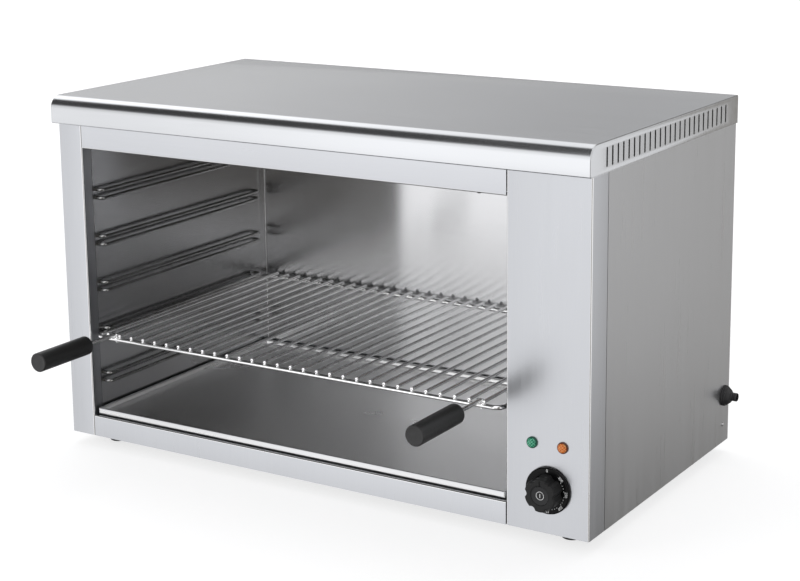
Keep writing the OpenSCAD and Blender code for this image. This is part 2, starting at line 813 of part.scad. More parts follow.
// from the grip over the front wire, then hooked down behind it
module handle_rod(x) {
    y_tip = grip_y - grip_bore_l;
    union() {
        rod_y(y_tip, hook_y - hook_bend, x, rod_z, rod_d);
        translate([x, hook_y - hook_bend, rod_z - hook_bend]) rotate([0, -90, 0])
            bend(hook_bend, rod_d, 0, 90);
        rod_z(rod_z - hook_bend - hook_drop, rod_z - hook_bend, x, hook_y, rod_d);
    }
}

module rack_handle_rods() { color(steel) for (x = handle_x) handle_rod(x); }

module grip(x) {
    edge = 1;
    color(black) difference() {
        union() {
            rod_y(grip_y - grip_l + edge, grip_y - edge, x, rod_z, grip_d);
            for (end = [[grip_y - edge, 1], [grip_y - grip_l + edge, -1]])
                translate([x, end[0], rod_z]) rotate([-90 * end[1], 0, 0])
                    cylinder(h = edge, d1 = grip_d, d2 = grip_d - 2 * edge);
        }
        rod_y(grip_y - grip_bore_l, grip_y + 1, x, rod_z, rod_d);
    }
}

module left_grip() { grip(handle_x[0]); }
module right_grip() { grip(handle_x[1]); }

// ---- tray ----------------------------------------------------------------

module crumb_tray() {
    color(bright) translate([0, 0, tray_z]) difference() {
        span([tray_l, tray_front, 0], [tray_r, tray_b, tray_h]);
        span([tray_l + tray_t, tray_front + tray_t, tray_t],
            [tray_r - tray_t, tray_b - tray_t, tray_h + 1]);
    }
}

// ---- the part ------------------------------------------------------------

place() base_pan();
place() left_side_panel();
place() right_side_panel();
place() back_panel();
place() left_post();
place() control_panel();
place() top_front_strip();
place() bottom_front_rail();
place() top_cap();
place() liner_left_wall();
place() liner_right_wall();
place() liner_back_wall();
place() reflector();
place() liner_floor();
place() guide(-1, 1);  // guide_left_1
place() guide(-1, 2);  // guide_left_2
place() guide(-1, 3);  // guide_left_3
place() guide(-1, 4);  // guide_left_4
place() guide(-1, 5);  // guide_left_5
place() guide(1, 1);  // guide_right_1
place() guide(1, 2);  // guide_right_2
place() guide(1, 3);  // guide_right_3
place() guide(1, 4);  // guide_right_4
place() guide(1, 5);  // guide_right_5
place() heating_tube_front();
place() heating_tube_rear();
place() tube_hangers();
place() tube_collars();
place() roof_wool();
place() back_wool();
place() side_wool();
place() bay_wool_pad();
place() thermostat();
place() thermostat_shaft();
place() thermostat_bulb();
place() capillary();
place() knob();
place() knob_insert();
place() green_lamp_body();
place() green_lens();
place() amber_lamp_body();
place() amber_lens();
place() terminal_block();
place() earth_stud();
place() cable_gland();
place() gland_nut();
place() wiring();
place() foot(foot_x[0], foot_y[0]);  // foot_front_left
place() foot(foot_x[1], foot_y[0]);  // foot_front_right
place() foot(foot_x[0], foot_y[1]);  // foot_rear_left
place() foot(foot_x[1], foot_y[1]);  // foot_rear_right
place() foot_screws();
place() back_screws();
place() side_screws();
place() rack_frame();
place() rack_bars();
place() rack_handle_rods();
place() left_grip();
place() right_grip();
place() crumb_tray();
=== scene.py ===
"""Dresses the solids of a hanging cheese melter: sheet with rounded bends, round wire, turned
plastic and the studio round them.

Shapes are worked out with numpy as whole arrays, in millimetres in the frame of the part's
source (X across, Y from the front face to the back, Z up from the body's underside), and are
moved to the row frame, in metres, when their mesh is made.
"""

import json
from math import cos, pi, radians, sin

import bmesh
import bpy
import numpy as np
from mathutils import Matrix, Vector
from mathutils.geometry import tessellate_polygon


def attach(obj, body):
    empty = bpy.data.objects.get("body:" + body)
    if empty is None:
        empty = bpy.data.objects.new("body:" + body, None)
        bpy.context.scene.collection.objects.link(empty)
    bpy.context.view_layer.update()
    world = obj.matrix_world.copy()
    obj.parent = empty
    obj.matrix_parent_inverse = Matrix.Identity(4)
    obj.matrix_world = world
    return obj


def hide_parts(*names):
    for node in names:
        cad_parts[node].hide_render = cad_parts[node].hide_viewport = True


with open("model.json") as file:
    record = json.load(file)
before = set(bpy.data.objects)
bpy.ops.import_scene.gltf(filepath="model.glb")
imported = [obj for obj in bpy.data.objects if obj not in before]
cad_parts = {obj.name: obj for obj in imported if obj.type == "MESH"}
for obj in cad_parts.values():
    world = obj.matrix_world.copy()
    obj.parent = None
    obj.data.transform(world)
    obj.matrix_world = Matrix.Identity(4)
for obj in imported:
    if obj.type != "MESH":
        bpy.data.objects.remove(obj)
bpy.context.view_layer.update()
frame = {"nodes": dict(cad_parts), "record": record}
nodes = frame["nodes"]

# ---- sizes, in millimetres -------------------------------------------------

ORIGIN = np.array([6.9, 119.5, -15.0])  # of the row frame, in the source's frame
X, Y, Z = np.eye(3)

# the body, its sheet and the opening in its front
HALF_W, DEPTH, HEIGHT = 340.0, 363.0, 371.5
SHEET, BEND, SEAM = 1.0, 1.7, 0.5
OPEN_L, OPEN_R = -306.0, 246.0
WRAP, FOLD, STRIP_H, RAIL_H = 34.6, 15.0, 28.0, 25.0
# the cap, its rounded nose and ends, and the slots in its ends
CAP_X, CAP_FRONT, CAP_TOP, NOSE = 342.2, -9.5, 403.0, 15.0
CAP_FOLD, CAP_HEM, CAP_EDGE, CAP_BACK_BEND = 14.0, 1.5, 1.2, 2.0
SLOT_N, SLOT_Y, SLOT_PITCH, SLOT_W, SLOT_H, SLOT_TOP = 25, 26.0, 12.5, 3.2, 20.0, 397.0
# the cavity: its back wall, its ceiling and the side walls' laps on the back wall
BACK_Y, CEILING, LAP, LAP_EDGE = 343.5, 357.0, 5.0, 1.1
# the guides, level 1 lowest
LEVELS, LEVEL_Z, LEVEL_PITCH = 5, 62.5, 55.0
GUIDE_D, GUIDE_OUT, GUIDE_BEND, GUIDE_GAP = 4.0, 9.5, 5.0, 9.7
GUIDE_Y0, GUIDE_Y1 = 21.0, 323.5
# the rack: frame, bars, beads where a bar meets the front wire, handle wires and grips
FRAME_D, FRAME_Z, FRAME_X0, FRAME_X1, FRAME_Y0, FRAME_Y1 = 5.0, 122.3, -298.5, 238.5, 2.0, 333.0
FRAME_BEND = 10.0
BAR_N, BAR_D, BAR_X, BAR_PITCH, BAR_Y0, BAR_Y1, BAR_Z = 30, 4.0, -279.4, 17.2, 0.4, 337.0, 126.8
BEAD_Y, BEAD_Z = 0.9, 125.0
ROD_D, ROD_Z, ROD_X = 5.0, 127.3, (-270.8, 214.2)
ROD_IN_GRIP, ROD_BEND, HOOK_Y, HOOK_DROP = 30.0, 5.0, 7.0, 10.0
GRIP_D, GRIP_Y0, GRIP_Y1 = 21.5, -126.0, -46.0
# the crumb tray
TRAY_X0, TRAY_X1, TRAY_Y0, TRAY_Y1, TRAY_Z0, TRAY_Z1 = -303.0, 243.0, 4.0, 340.5, 26.3, 33.5
TRAY_CORNER, TRAY_HEM, TRAY_SHEET = 2.5, 0.9, 0.8
# the heating tubes and the plates that they hang in
TUBE_D, TUBE_RUNS, TUBE_Z, TUBE_PITCH, TUBE_Y = 8.0, 4, 339.0, 34.0, (58.0, 194.0)
TUBE_TAIL, TUBE_SIDE = 268.0, 12.0
HANGER_T, HANGER_HOLE, HANGER_OUT, HANGER_IN, HANGER_CORNER = 1.5, 8.6, 12.0, 60.0, 6.0
# the knob: a skirt, a hub with scallops, a recess in the hub and the inlay in the recess
KNOB = np.array([294.6, -0.6, 46.8])
SKIRT_R, SKIRT_T, HUB_R, HUB_H, HUB_EDGE = 24.5, 3.5, 17.5, 19.5, 1.6
SCALLOP_N, SCALLOP_R, SCALLOP_OUT = 6, 4.5, 2.2
RECESS_R, RECESS_H, FACE_R, GROOVE, GROOVE_W = 10.0, 1.4, 14.2, 0.8, 1.5
NUMBER_R, DOT_R, DOT_SIZE = 21.4, 19.3, 0.42
# the pilot lamps
LAMPS = {"green": 275.8, "amber": 310.2}
LAMP_Z, BARREL_R, BEZEL_R, BEZEL_T = 94.0, 4.8, 6.0, 1.9
LENS_R, LENS_RISE, LENS_DOME, FACET, FACET_PITCH = 4.75, 1.5, 2.2, 0.6, 2.3
# the cable gland, the feet and the screws
GLAND = np.array([340.0, 349.0, 56.0])
FEET = {"front_left": (-302, 38), "front_right": (302, 38),
        "rear_left": (-302, 325), "rear_right": (302, 325)}
BACK_SCREW_N, BACK_SCREW_IN = 4, 14.0
SIDE_SCREW_Y, SIDE_SCREW_Z = DEPTH - 17.0, 22.0

ON_AXIS = 0.01  # the radius at which a turned face or a dome closes
SAME = 0.002  # points nearer than this are one


# ---- meshes ----------------------------------------------------------------

class Shell:
    """The points and faces of one piece, gathered from closed surfaces."""

    def __init__(self):
        self.points, self.marks, self.faces, self.count = [], [], [], 0

    def add(self, points, faces, mark=0.0):
        """mark is one number, or one for each point, that a material can read."""
        points = np.asarray(points, float).reshape(-1, 3)
        self.faces += [[int(i) + self.count for i in face] for face in faces]
        self.points.append(points)
        self.marks.append(np.broadcast_to(np.ravel(mark), len(points)))
        self.count += len(points)
        return self

    def loft(self, rings, around=True, along=False, caps=True, mark=0.0):
        """Quads between neighbours of the grid rings[i, j]. around joins each ring's end to its
        start, along joins the last ring to the first, and caps closes both ends with a face."""
        n, m = rings.shape[:2]
        i, j = np.meshgrid(np.arange(n if along else n - 1),
                           np.arange(m if around else m - 1), indexing="ij")
        i2, j2 = (i + 1) % n, (j + 1) % m
        faces = np.stack([i * m + j, i * m + j2, i2 * m + j2, i2 * m + j], -1)
        faces = faces.reshape(-1, 4).tolist()
        if caps and not along:
            faces += [list(range(m))[::-1], list(range((n - 1) * m, n * m))]
        return self.add(rings, faces, mark)

    def make(self, name, material, body="cabinet", replaces=(), slot=None, smooth=40):
        """The finished object: doubles merged, faces outward, in the row frame, on its body."""
        points = (np.concatenate(self.points) - ORIGIN) / 1000
        mesh = bpy.data.meshes.new(name)
        mesh.from_pydata(points, [], self.faces)
        marks = np.concatenate(self.marks)
        if marks.any():
            mesh.attributes.new("mark", "FLOAT", "POINT").data.foreach_set("value", marks)
        work = bmesh.new()
        work.from_mesh(mesh)
        bmesh.ops.remove_doubles(work, verts=work.verts, dist=SAME / 1000)
        bmesh.ops.recalc_face_normals(work, faces=work.faces)
        work.to_mesh(mesh)
        work.free()
        mesh.shade_smooth()
        mesh.set_sharp_from_angle(angle=radians(smooth))
        piece = bpy.data.objects.new(name, mesh)
        bpy.context.scene.collection.objects.link(piece)
        mesh.materials.append(material)
        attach(piece, body)
        if replaces:
            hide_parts(*replaces)
        return piece


def unit(v):
    """Each vector divided by its own length."""
    return v / np.linalg.norm(v, axis=-1, keepdims=True)


def rounded(corners, r, steps=6):
    """A polyline whose square corners become quarter circles: each centre lies r back along the
    way in and r out along the way on, and the arc swings from one to the other. Where one arc
    ends in the next one's start, as in a hairpin, the point is kept once."""
    corners = np.asarray(corners, float)
    r = np.broadcast_to(r, len(corners) - 2)
    out = [corners[:1]]
    for a, b, c, radius in zip(corners[:-2], corners[1:-1], corners[2:], r):
        u, v = unit(b - a), unit(c - b)
        w = np.linspace(0, pi / 2, steps + 1)[:, None]
        out.append(b + radius * (v - u) + radius * (u * np.sin(w) - v * np.cos(w)))
    path = np.concatenate(out + [corners[-1:]])
    step = np.linalg.norm(np.diff(path, axis=0), axis=1)
    return path[np.r_[True, step > SAME]]


def sideways(path, d):
    """A flat path moved d to its left: along the mean of its two chords' normals, lengthened
    so that both chords keep their distance."""
    chord = unit(np.diff(path, axis=0))
    before, after = np.vstack([chord[:1], chord]), np.vstack([chord, chord[-1:]])
    mean = unit(before + after)
    return path + d * np.stack([-mean[:, 1], mean[:, 0]], 1) / (mean * before).sum(1)[:, None]


def folded(path, thickness, low, high, axis, edge=0.15):
    """Sheet bent along a flat path and drawn out along X or Z: its section is the path and the
    path moved sideways by the thickness, and its cut ends are eased by the edge. The mark is 1
    inside each bend, where the cosine between two neighbouring chords is small enough."""
    straight = 0.98
    inner = sideways(path, thickness)
    chord = unit(np.diff(path, axis=0))
    bent = np.r_[0, (chord[:-1] * chord[1:]).sum(1) < straight, 0]
    shell = Shell()
    rings = []
    for at, inset in ((low, edge), (low + edge, 0), (high - edge, 0), (high, edge)):
        loop = np.vstack([sideways(path, inset), sideways(inner, -inset)[::-1]])
        level = np.full((len(loop), 1), at)
        rings.append(np.hstack([level, loop] if axis == "X" else [loop, level]))
    rings = np.array(rings)
    bent = np.r_[bent, bent[::-1]]
    shell.loft(rings, caps=False, mark=np.tile(bent, 4))
    n, m = len(path), rings.shape[1]
    strip = np.arange(n - 1)
    quads = np.stack([strip, strip + 1, m - 2 - strip, m - 1 - strip], 1)
    for ring in (0, 3):
        shell.add(rings[ring], quads.tolist(), bent)
    return shell


def tube(shell, path, d, flat, sides=20, edge=0.4, closed=False):
    """Round wire along a path in the plane square to flat: each ring lies in the plane of flat
    and of the normal, which is flat crossed with the tangent. Open ends are chamfered."""
    path = np.asarray(path, float)
    if closed:
        t = unit(np.roll(path, -1, 0) - np.roll(path, 1, 0))
        radius = np.full(len(path), d / 2)
    else:
        chord = unit(np.diff(path, axis=0))
        path = np.vstack([path[:1], path[:1] + chord[:1] * edge, path[1:-1],
                          path[-1:] - chord[-1:] * edge, path[-1:]])
        chord = unit(np.diff(path, axis=0))
        t = unit(np.vstack([chord[:1], chord[:-1] + chord[1:], chord[-1:]]))
        radius = np.full(len(path), d / 2)
        radius[[0, -1]] -= edge
    normal = np.cross(flat, t)
    w = np.arange(sides) * 2 * pi / sides
    ring = (np.cos(w)[None, :, None] * normal[:, None] + np.sin(w)[None, :, None] * flat)
    return shell.loft(path[:, None] + radius[:, None, None] * ring, along=closed)


def turned(shell, profile, centre, axis, sides=64):
    """A profile of (distance along the axis, radius) swept round the axis. One that ends where
    it starts is a ring, closed on itself; any other is closed by a face at each end."""
    profile = np.asarray(profile, float)
    ring = bool((profile[0] == profile[-1]).all())
    u = unit(np.cross(axis, X if abs(axis[0]) < 0.5 else Z))
    v = np.cross(axis, u)
    w = np.arange(sides) * 2 * pi / sides
    circle = np.cos(w)[:, None] * u + np.sin(w)[:, None] * v
    rings = centre + profile[:, 0, None, None] * axis + profile[:, 1, None, None] * circle
    return shell.loft(rings[:-1] if ring else rings, along=ring)


def bead(shell, centre, size, turns=16, steps=9):
    """A rounded blob: an ellipsoid whose rings shrink with the cosine of the latitude."""
    lat = np.linspace(-pi / 2, pi / 2, steps)[:, None]
    w = np.arange(turns) * 2 * pi / turns
    r = np.maximum(np.cos(lat), ON_AXIS)
    grid = np.stack([r * np.cos(w), r * np.sin(w), np.sin(lat) + 0 * w], -1)
    return shell.loft(np.asarray(centre) + grid * np.asarray(size))


# ---- materials -------------------------------------------------------------

class Value:
    """A socket in a node tree; arithmetic on it adds Math nodes."""

    def __init__(self, tree, socket):
        self.tree, self.socket = tree, socket

    def math(self, operation, *others):
        """A Math node that works on this value and, where there are any, the others."""
        return self.tree.node("ShaderNodeMath", {"operation": operation},
                              {i: term for i, term in enumerate((self, *others))})

    def __add__(self, other):
        return self.math("ADD", other)

    def __sub__(self, other):
        return self.math("SUBTRACT", other)

    def __rsub__(self, other):
        return self * -1.0 + other

    def __mul__(self, other):
        return self.math("MULTIPLY", other)

    __radd__, __rmul__ = __add__, __mul__


class Finish:
    """A material whose nodes are added by name, around one Principled shader."""

    def __init__(self, name, colour, metallic=0.0, roughness=0.5, **uniform):
        self.material = bpy.data.materials.new(name)
        self.material.use_nodes = True
        self.nodes, self.links = self.material.node_tree.nodes, self.material.node_tree.links
        self.shader = self.nodes["Principled BSDF"]
        self.set("Base Color", colour)
        self.set("Metallic", metallic)
        self.set("Roughness", roughness)
        for socket, value in uniform.items():
            self.set(socket.replace("_", " "), value)

    def put(self, socket, value):
        """Gives a socket a link, a colour or a number."""
        if isinstance(value, Value):
            self.links.new(value.socket, socket)
        elif hasattr(value, "__len__") and len(value) == 3 and len(socket.default_value) == 4:
            socket.default_value = (*value, 1.0)
        else:
            socket.default_value = value

    def set(self, socket, value):
        """The same for a socket of the shader, by its name."""
        self.put(self.shader.inputs[socket], value)

    def node(self, kind, settings=None, sockets=None, output=0):
        """Adds one node: its settings first, then the value or link of each named socket."""
        made = self.nodes.new(kind)
        for key, value in (settings or {}).items():
            if key == "stops":
                ramp = made.color_ramp.elements
                while len(ramp) < len(value):
                    ramp.new(0.5)
                for element, (at, colour) in zip(ramp, value):
                    element.position, element.color = at, (*colour, 1.0)
            else:
                setattr(made, key, value)
        for key, value in (sockets or {}).items():
            self.put(made.inputs[key], value)
        return Value(self, made.outputs[output])

    def place(self, scale):
        """Object coordinates, scaled along each axis."""
        here = self.node("ShaderNodeTexCoord", output=3)
        return self.node("ShaderNodeMapping", {}, {"Vector": here, "Scale": scale})

    def noise(self, scale, stretch=(1, 1, 1), detail=3.0, rough=0.5):
        """Noise of about this many cells a metre, from 0 to 1. Along an axis whose stretch is
        less than 1 it is drawn out."""
        return self.node("ShaderNodeTexNoise", {}, {
            "Vector": self.place(stretch), "Scale": scale, "Detail": detail, "Roughness": rough})

    def between(self, factor, a, b):
        """A colour between two, by a factor."""
        return self.node("ShaderNodeMix", {"data_type": "RGBA"},
                         {0: factor, 6: a, 7: b}, output=2)

    def blend(self, factor, a, b):
        """A number between two, by a factor."""
        return self.node("ShaderNodeMix", {"data_type": "FLOAT"}, {0: factor, 2: a, 3: b})

    def mark(self):
        """The number stored with each point of the mesh."""
        return self.node("ShaderNodeAttribute", {"attribute_name": "mark"}, output=2)

    def spread(self, value, low, high, to_low=0.0, to_high=1.0):
        """The range from low to high drawn out to another one, and level beyond it."""
        return self.node("ShaderNodeMapRange", {}, {
            "Value": value, "From Min": low, "From Max": high,
            "To Min": to_low, "To Max": to_high})

    def bump(self, height, strength, distance):
        """Fine relief, in the shading only."""
        self.set("Normal", self.node("ShaderNodeBump", {}, {
            "Strength": strength, "Distance": distance, "Height": height}))
        return self


def shade(colour, k):
    """A colour made lighter or darker by a factor."""
    return tuple(min(1.0, c * k) for c in colour)


def brushed(name, colour, roughness, grain, streak=0.05, cloud=0.03, bump=0.12):
    """Brushed sheet: fine streaks drawn out along the grain axis change the roughness, the
    colour a little and the surface, and a broad cloud breaks up the evenness. Bends, which
    are marked, get a painted highlight: a light colour and a lower roughness."""
    finish = Finish(name, colour, 1.0, roughness)
    # the bends' painted highlight: a light colour and a low roughness where a reflection would be
    bend_highlight_colour, bend_roughness = (0.80, 0.80, 0.80), 0.16
    fine_grain, broad_grain = (tuple(k if axis == grain else 1.0 for axis in "XYZ")
                               for k in (0.02, 0.05))
    fine = finish.noise(900, fine_grain, 2.0, 0.6)
    broad = finish.noise(110, broad_grain, 3.0, 0.55)
    soft = finish.noise(4.5, (1, 1, 1), 2.0)
    tone = fine * 0.4 + broad * 0.6
    swing = streak + cloud
    worn = tone * (streak / swing) + soft * (cloud / swing)
    sheet = finish.between(finish.spread(worn, 0.3, 0.7),
                           shade(colour, 1 - streak - cloud), shade(colour, 1 + streak + cloud))
    # where the mark is 1, the bend's painted highlight takes the place of the sheet's colour
    bend = finish.mark()
    finish.set("Base Color", finish.between(bend, sheet, bend_highlight_colour))
    rub = finish.spread(tone, 0.25, 0.75, roughness - 0.05, roughness + 0.06)
    finish.set("Roughness", finish.blend(bend, rub, bend_roughness))
    return finish.bump(fine * 0.5 + broad * 0.5, bump, 0.0004).material


def polished(name, colour, roughness, grain, cloud=0.05, bump=0.04, marked=None, **uniform):
    """Bright rolled sheet: a soft mirror with faint lines along its grain and slow clouds.
    Marked places, such as the tray's hem, take a darker tone: painted shade that tones down their
    reflection."""
    finish = Finish(name, colour, 1.0, roughness, **uniform)
    along = tuple(0.02 if axis in grain else 1.0 for axis in "XYZ")
    lines = finish.noise(420, along, 2.0, 0.6)
    haze = finish.noise(9, (1, 1, 1), 3.0, 0.6)
    sheet = finish.between(finish.spread(haze * 0.6 + lines * 0.4, 0.2, 0.8),
                           shade(colour, 1 - cloud), shade(colour, 1 + cloud))
    # marked places take the given tone: on the tray's hem a darker one, painted shade
    finish.set("Base Color", finish.between(finish.mark(), sheet, marked) if marked else sheet)
    finish.set("Roughness", finish.spread(haze * 0.5 + lines * 0.5, 0.15, 0.85,
                                          roughness * 0.85, roughness * 1.2))
    return finish.bump(lines, bump, 0.0003).material


def wire(name, colour, roughness):
    """Drawn and polished wire: fine marks and small duller patches."""
    finish = Finish(name, colour, 1.0, roughness)
    patch = finish.noise(60, (1, 1, 1), 3.0, 0.65)
    fine = finish.noise(700, (1, 1, 1), 2.0)
    finish.set("Base Color", finish.between(finish.spread(patch, 0.35, 0.7),
                                            shade(colour, 0.9), shade(colour, 1.06)))
    finish.set("Roughness", finish.spread(patch, 0.3, 0.7, roughness * 0.8, roughness * 1.5))
    return finish.bump(fine, 0.03, 0.0002).material


def moulded(name, colour, roughness, grain=500, bump=0.12, mottle=0.12, marked=None, **uniform):
    """Moulded plastic, rubber or ceramic: a fine skin texture and a slight mottle. Marked
    places take another tone: the knob's hub a lighter one, a painted sheen."""
    finish = Finish(name, colour, 0.0, roughness, **uniform)
    skin = finish.noise(grain, (1, 1, 1), 3.0, 0.6)
    broad = finish.noise(grain / 25, (1, 1, 1), 2.0)
    tone = finish.between(finish.spread(broad * 0.7 + skin * 0.3, 0.3, 0.7),
                          shade(colour, 1 - mottle), shade(colour, 1 + mottle))
    finish.set("Base Color", finish.between(finish.mark(), tone, marked) if marked else tone)
    finish.set("Roughness", finish.spread(skin, 0.3, 0.7, roughness - 0.06, roughness + 0.08))
    return finish.bump(skin, bump, 0.0004).material


def jewel(name, colour, ridge, roughness):
    """Moulded lens: its marked ridges are painted lighter than the hollows between them, a painted
    highlight along each ridge.
    """
    finish = Finish(name, colour, 0.0, roughness)
    skin = finish.noise(300, (1, 1, 1), 3.0, 0.6)
    # the ridges' painted highlight, broken up a little by the skin texture
    edge = finish.mark() * finish.spread(skin, 0.2, 0.6, 0.6, 1.0)
    finish.set("Base Color", finish.between(edge, colour, ridge))
    finish.set("Roughness", finish.spread(skin, 0.3, 0.7, roughness - 0.05, roughness + 0.08))
    return finish.bump(skin, 0.04, 0.0003).material


def metal(name, colour, roughness, marks=180):
    """Turned or drawn small metal parts: fine marks and a slight tarnish."""
    finish = Finish(name, colour, 1.0, roughness)
    tarnish = finish.noise(marks, (1, 1, 1), 4.0, 0.6)
    finish.set("Base Color", finish.between(finish.spread(tarnish, 0.3, 0.75),
                                            shade(colour, 0.75), shade(colour, 1.05)))
    finish.set("Roughness", finish.spread(tarnish, 0.3, 0.7, roughness * 0.8, roughness * 1.4))
    return finish.bump(tarnish, 0.1, 0.0003).material


def fibres(name, colour):
    """Mineral wool: tangled strands, lighter and darker."""
    finish = Finish(name, colour, 0.0, 0.95)
    strands = finish.noise(160, (1, 1, 0.3), 6.0, 0.7)
    finish.set("Base Color", finish.between(finish.spread(strands, 0.3, 0.7),
                                            shade(colour, 0.6), shade(colour, 1.15)))
    return finish.bump(strands, 0.8, 0.002).material


SLOTS = {
    "side_steel": brushed("side_steel", (0.49, 0.494, 0.502), 0.30, "Z", 0.03, 0.02),
    "base_steel": brushed("base_steel", (0.45, 0.455, 0.46), 0.40, "X"),
    "front_steel": brushed("front_steel", (0.49, 0.50, 0.52), 0.30, "Z", 0.03, 0.02),
    "cap_steel": brushed("cap_steel", (0.60, 0.61, 0.625), 0.20, "X", 0.03, 0.02, 0.06),
    "liner_steel": polished("liner_steel", (0.57, 0.572, 0.58), 0.16, "XY",
                            Anisotropic=0.92, Anisotropic_Rotation=0.25),
    # the guide rods' wire steel is darkened, painted shade, and the rack's is lightened near white,
    # a painted highlight
    "rod_steel": wire("rod_steel", (0.36, 0.36, 0.355), 0.06),
    "rack_steel": wire("rack_steel", (0.93, 0.93, 0.93), 0.10),
    # the tray's marked hem is painted darker than its sheet: painted shade that tones down its
    # reflection
    "tray_steel": polished("tray_steel", (0.95, 0.95, 0.95), 0.28, "XY", 0.0, 0.0,
                           marked=(0.55, 0.555, 0.565)),
    "tube_steel": metal("tube_steel", (0.20, 0.185, 0.17), 0.45),
    "ceramic": moulded("ceramic", (0.78, 0.76, 0.70), 0.6, 400),
    "wool": fibres("wool", (0.60, 0.52, 0.34)),
    "thermostat_body": moulded("thermostat_body", (0.42, 0.30, 0.17), 0.5),
    "screw_steel": metal("screw_steel", (0.60, 0.60, 0.60), 0.28),
    "copper": metal("copper", (0.72, 0.40, 0.25), 0.3),
    # the knob's marked hub is painted lighter than its skirt: a painted sheen
    "knob_black": moulded("knob_black", (0.002, 0.002, 0.0022), 0.30, 700, 0.08, 0.1,
                          marked=(0.022, 0.022, 0.022), Specular_IOR_Level=0.13),
    "insert_grey": moulded("insert_grey", (0.022, 0.022, 0.023), 0.42, 700, 0.06,
                           Specular_IOR_Level=0.25),
    "rim_green": moulded("rim_green", (0.004, 0.075, 0.045), 0.30, 700, 0.05),
    "rim_amber": moulded("rim_amber", (0.11, 0.028, 0.008), 0.30, 700, 0.05),
    "lens_green": jewel("lens_green", (0.006, 0.20, 0.10), (0.22, 0.74, 0.48), 0.2),
    "lens_amber": jewel("lens_amber", (0.62, 0.10, 0.006), (1.0, 0.52, 0.17), 0.2),
    "brass": metal("brass", (0.72, 0.55, 0.22), 0.3),
    "gland_black": moulded("gland_black", (0.014, 0.014, 0.015), 0.5, 600),
    "lead_red": moulded("lead_red", (0.30, 0.03, 0.02), 0.55),
    "foot_rubber": moulded("foot_rubber", (0.010, 0.010, 0.010), 0.7, 400, 0.2),
    "grip_black": moulded("grip_black", (0.012, 0.012, 0.012), 0.42, 500, 0.1),
}
PRINT = moulded("pale_print", (0.88, 0.88, 0.87), 0.5, 400, 0.02, 0.03)
# the strip over the opening is a narrower sheet, brushed along its length
STRIP = brushed("strip_steel", (0.54, 0.55, 0.572), 0.30, "X", 0.03, 0.02)

for row in frame["record"]["subparts"]:
    mesh = nodes[row["node"]].data
    mesh.materials.clear()
    mesh.materials.append(SLOTS[row["material_slot"]])


def dress(shell, name, slot, body="cabinet", replaces=(), smooth=40):
    """A finished piece in the material of its slot."""
    return shell.make(name, SLOTS[slot], body, replaces, slot, smooth)


# ---- body: folded sheets ---------------------------------------------------

post = rounded([(-HALF_W, WRAP), (-HALF_W, 0), (OPEN_L, 0), (OPEN_L, FOLD)], BEND)
dress(folded(post, SHEET, 0, HEIGHT, "Z"), "left_post_sheet", "front_steel",
      replaces=["left_post"], smooth=30)
panel = rounded([(OPEN_R, FOLD), (OPEN_R, 0), (HALF_W, 0), (HALF_W, WRAP)], BEND)
dress(folded(panel, SHEET, 0, HEIGHT, "Z"), "control_panel_sheet", "front_steel",
      replaces=["control_panel"], smooth=30)
strip = rounded([(0, HEIGHT), (0, HEIGHT - STRIP_H), (FOLD, HEIGHT - STRIP_H)], BEND)
folded(strip, SHEET, OPEN_L + SEAM, OPEN_R - SEAM, "X").make(
    "top_strip_sheet", STRIP, replaces=["top_front_strip"], slot="front_steel", smooth=30)
rail = rounded([(FOLD, RAIL_H), (0, RAIL_H), (0, 0)], BEND)
dress(folded(rail, SHEET, OPEN_L + SEAM, OPEN_R - SEAM, "X"), "bottom_rail_sheet", "front_steel",
      replaces=["bottom_front_rail"], smooth=30)


def slot_outlines():
    """The cap's slots in Y and Z: two half circles, one over the other, for each slot."""
    y = SLOT_Y + SLOT_PITCH * np.arange(SLOT_N)
    w = np.linspace(0, pi, 7)
    r = SLOT_W / 2
    upper, lower = SLOT_TOP - r, SLOT_TOP - SLOT_H + r
    one = np.vstack([np.stack([r * np.cos(w), upper + r * np.sin(w)], 1),
                     np.stack([-r * np.cos(w), lower - r * np.sin(w)], 1)])
    return one[None] + np.stack([y, 0 * y], 1)[:, None]


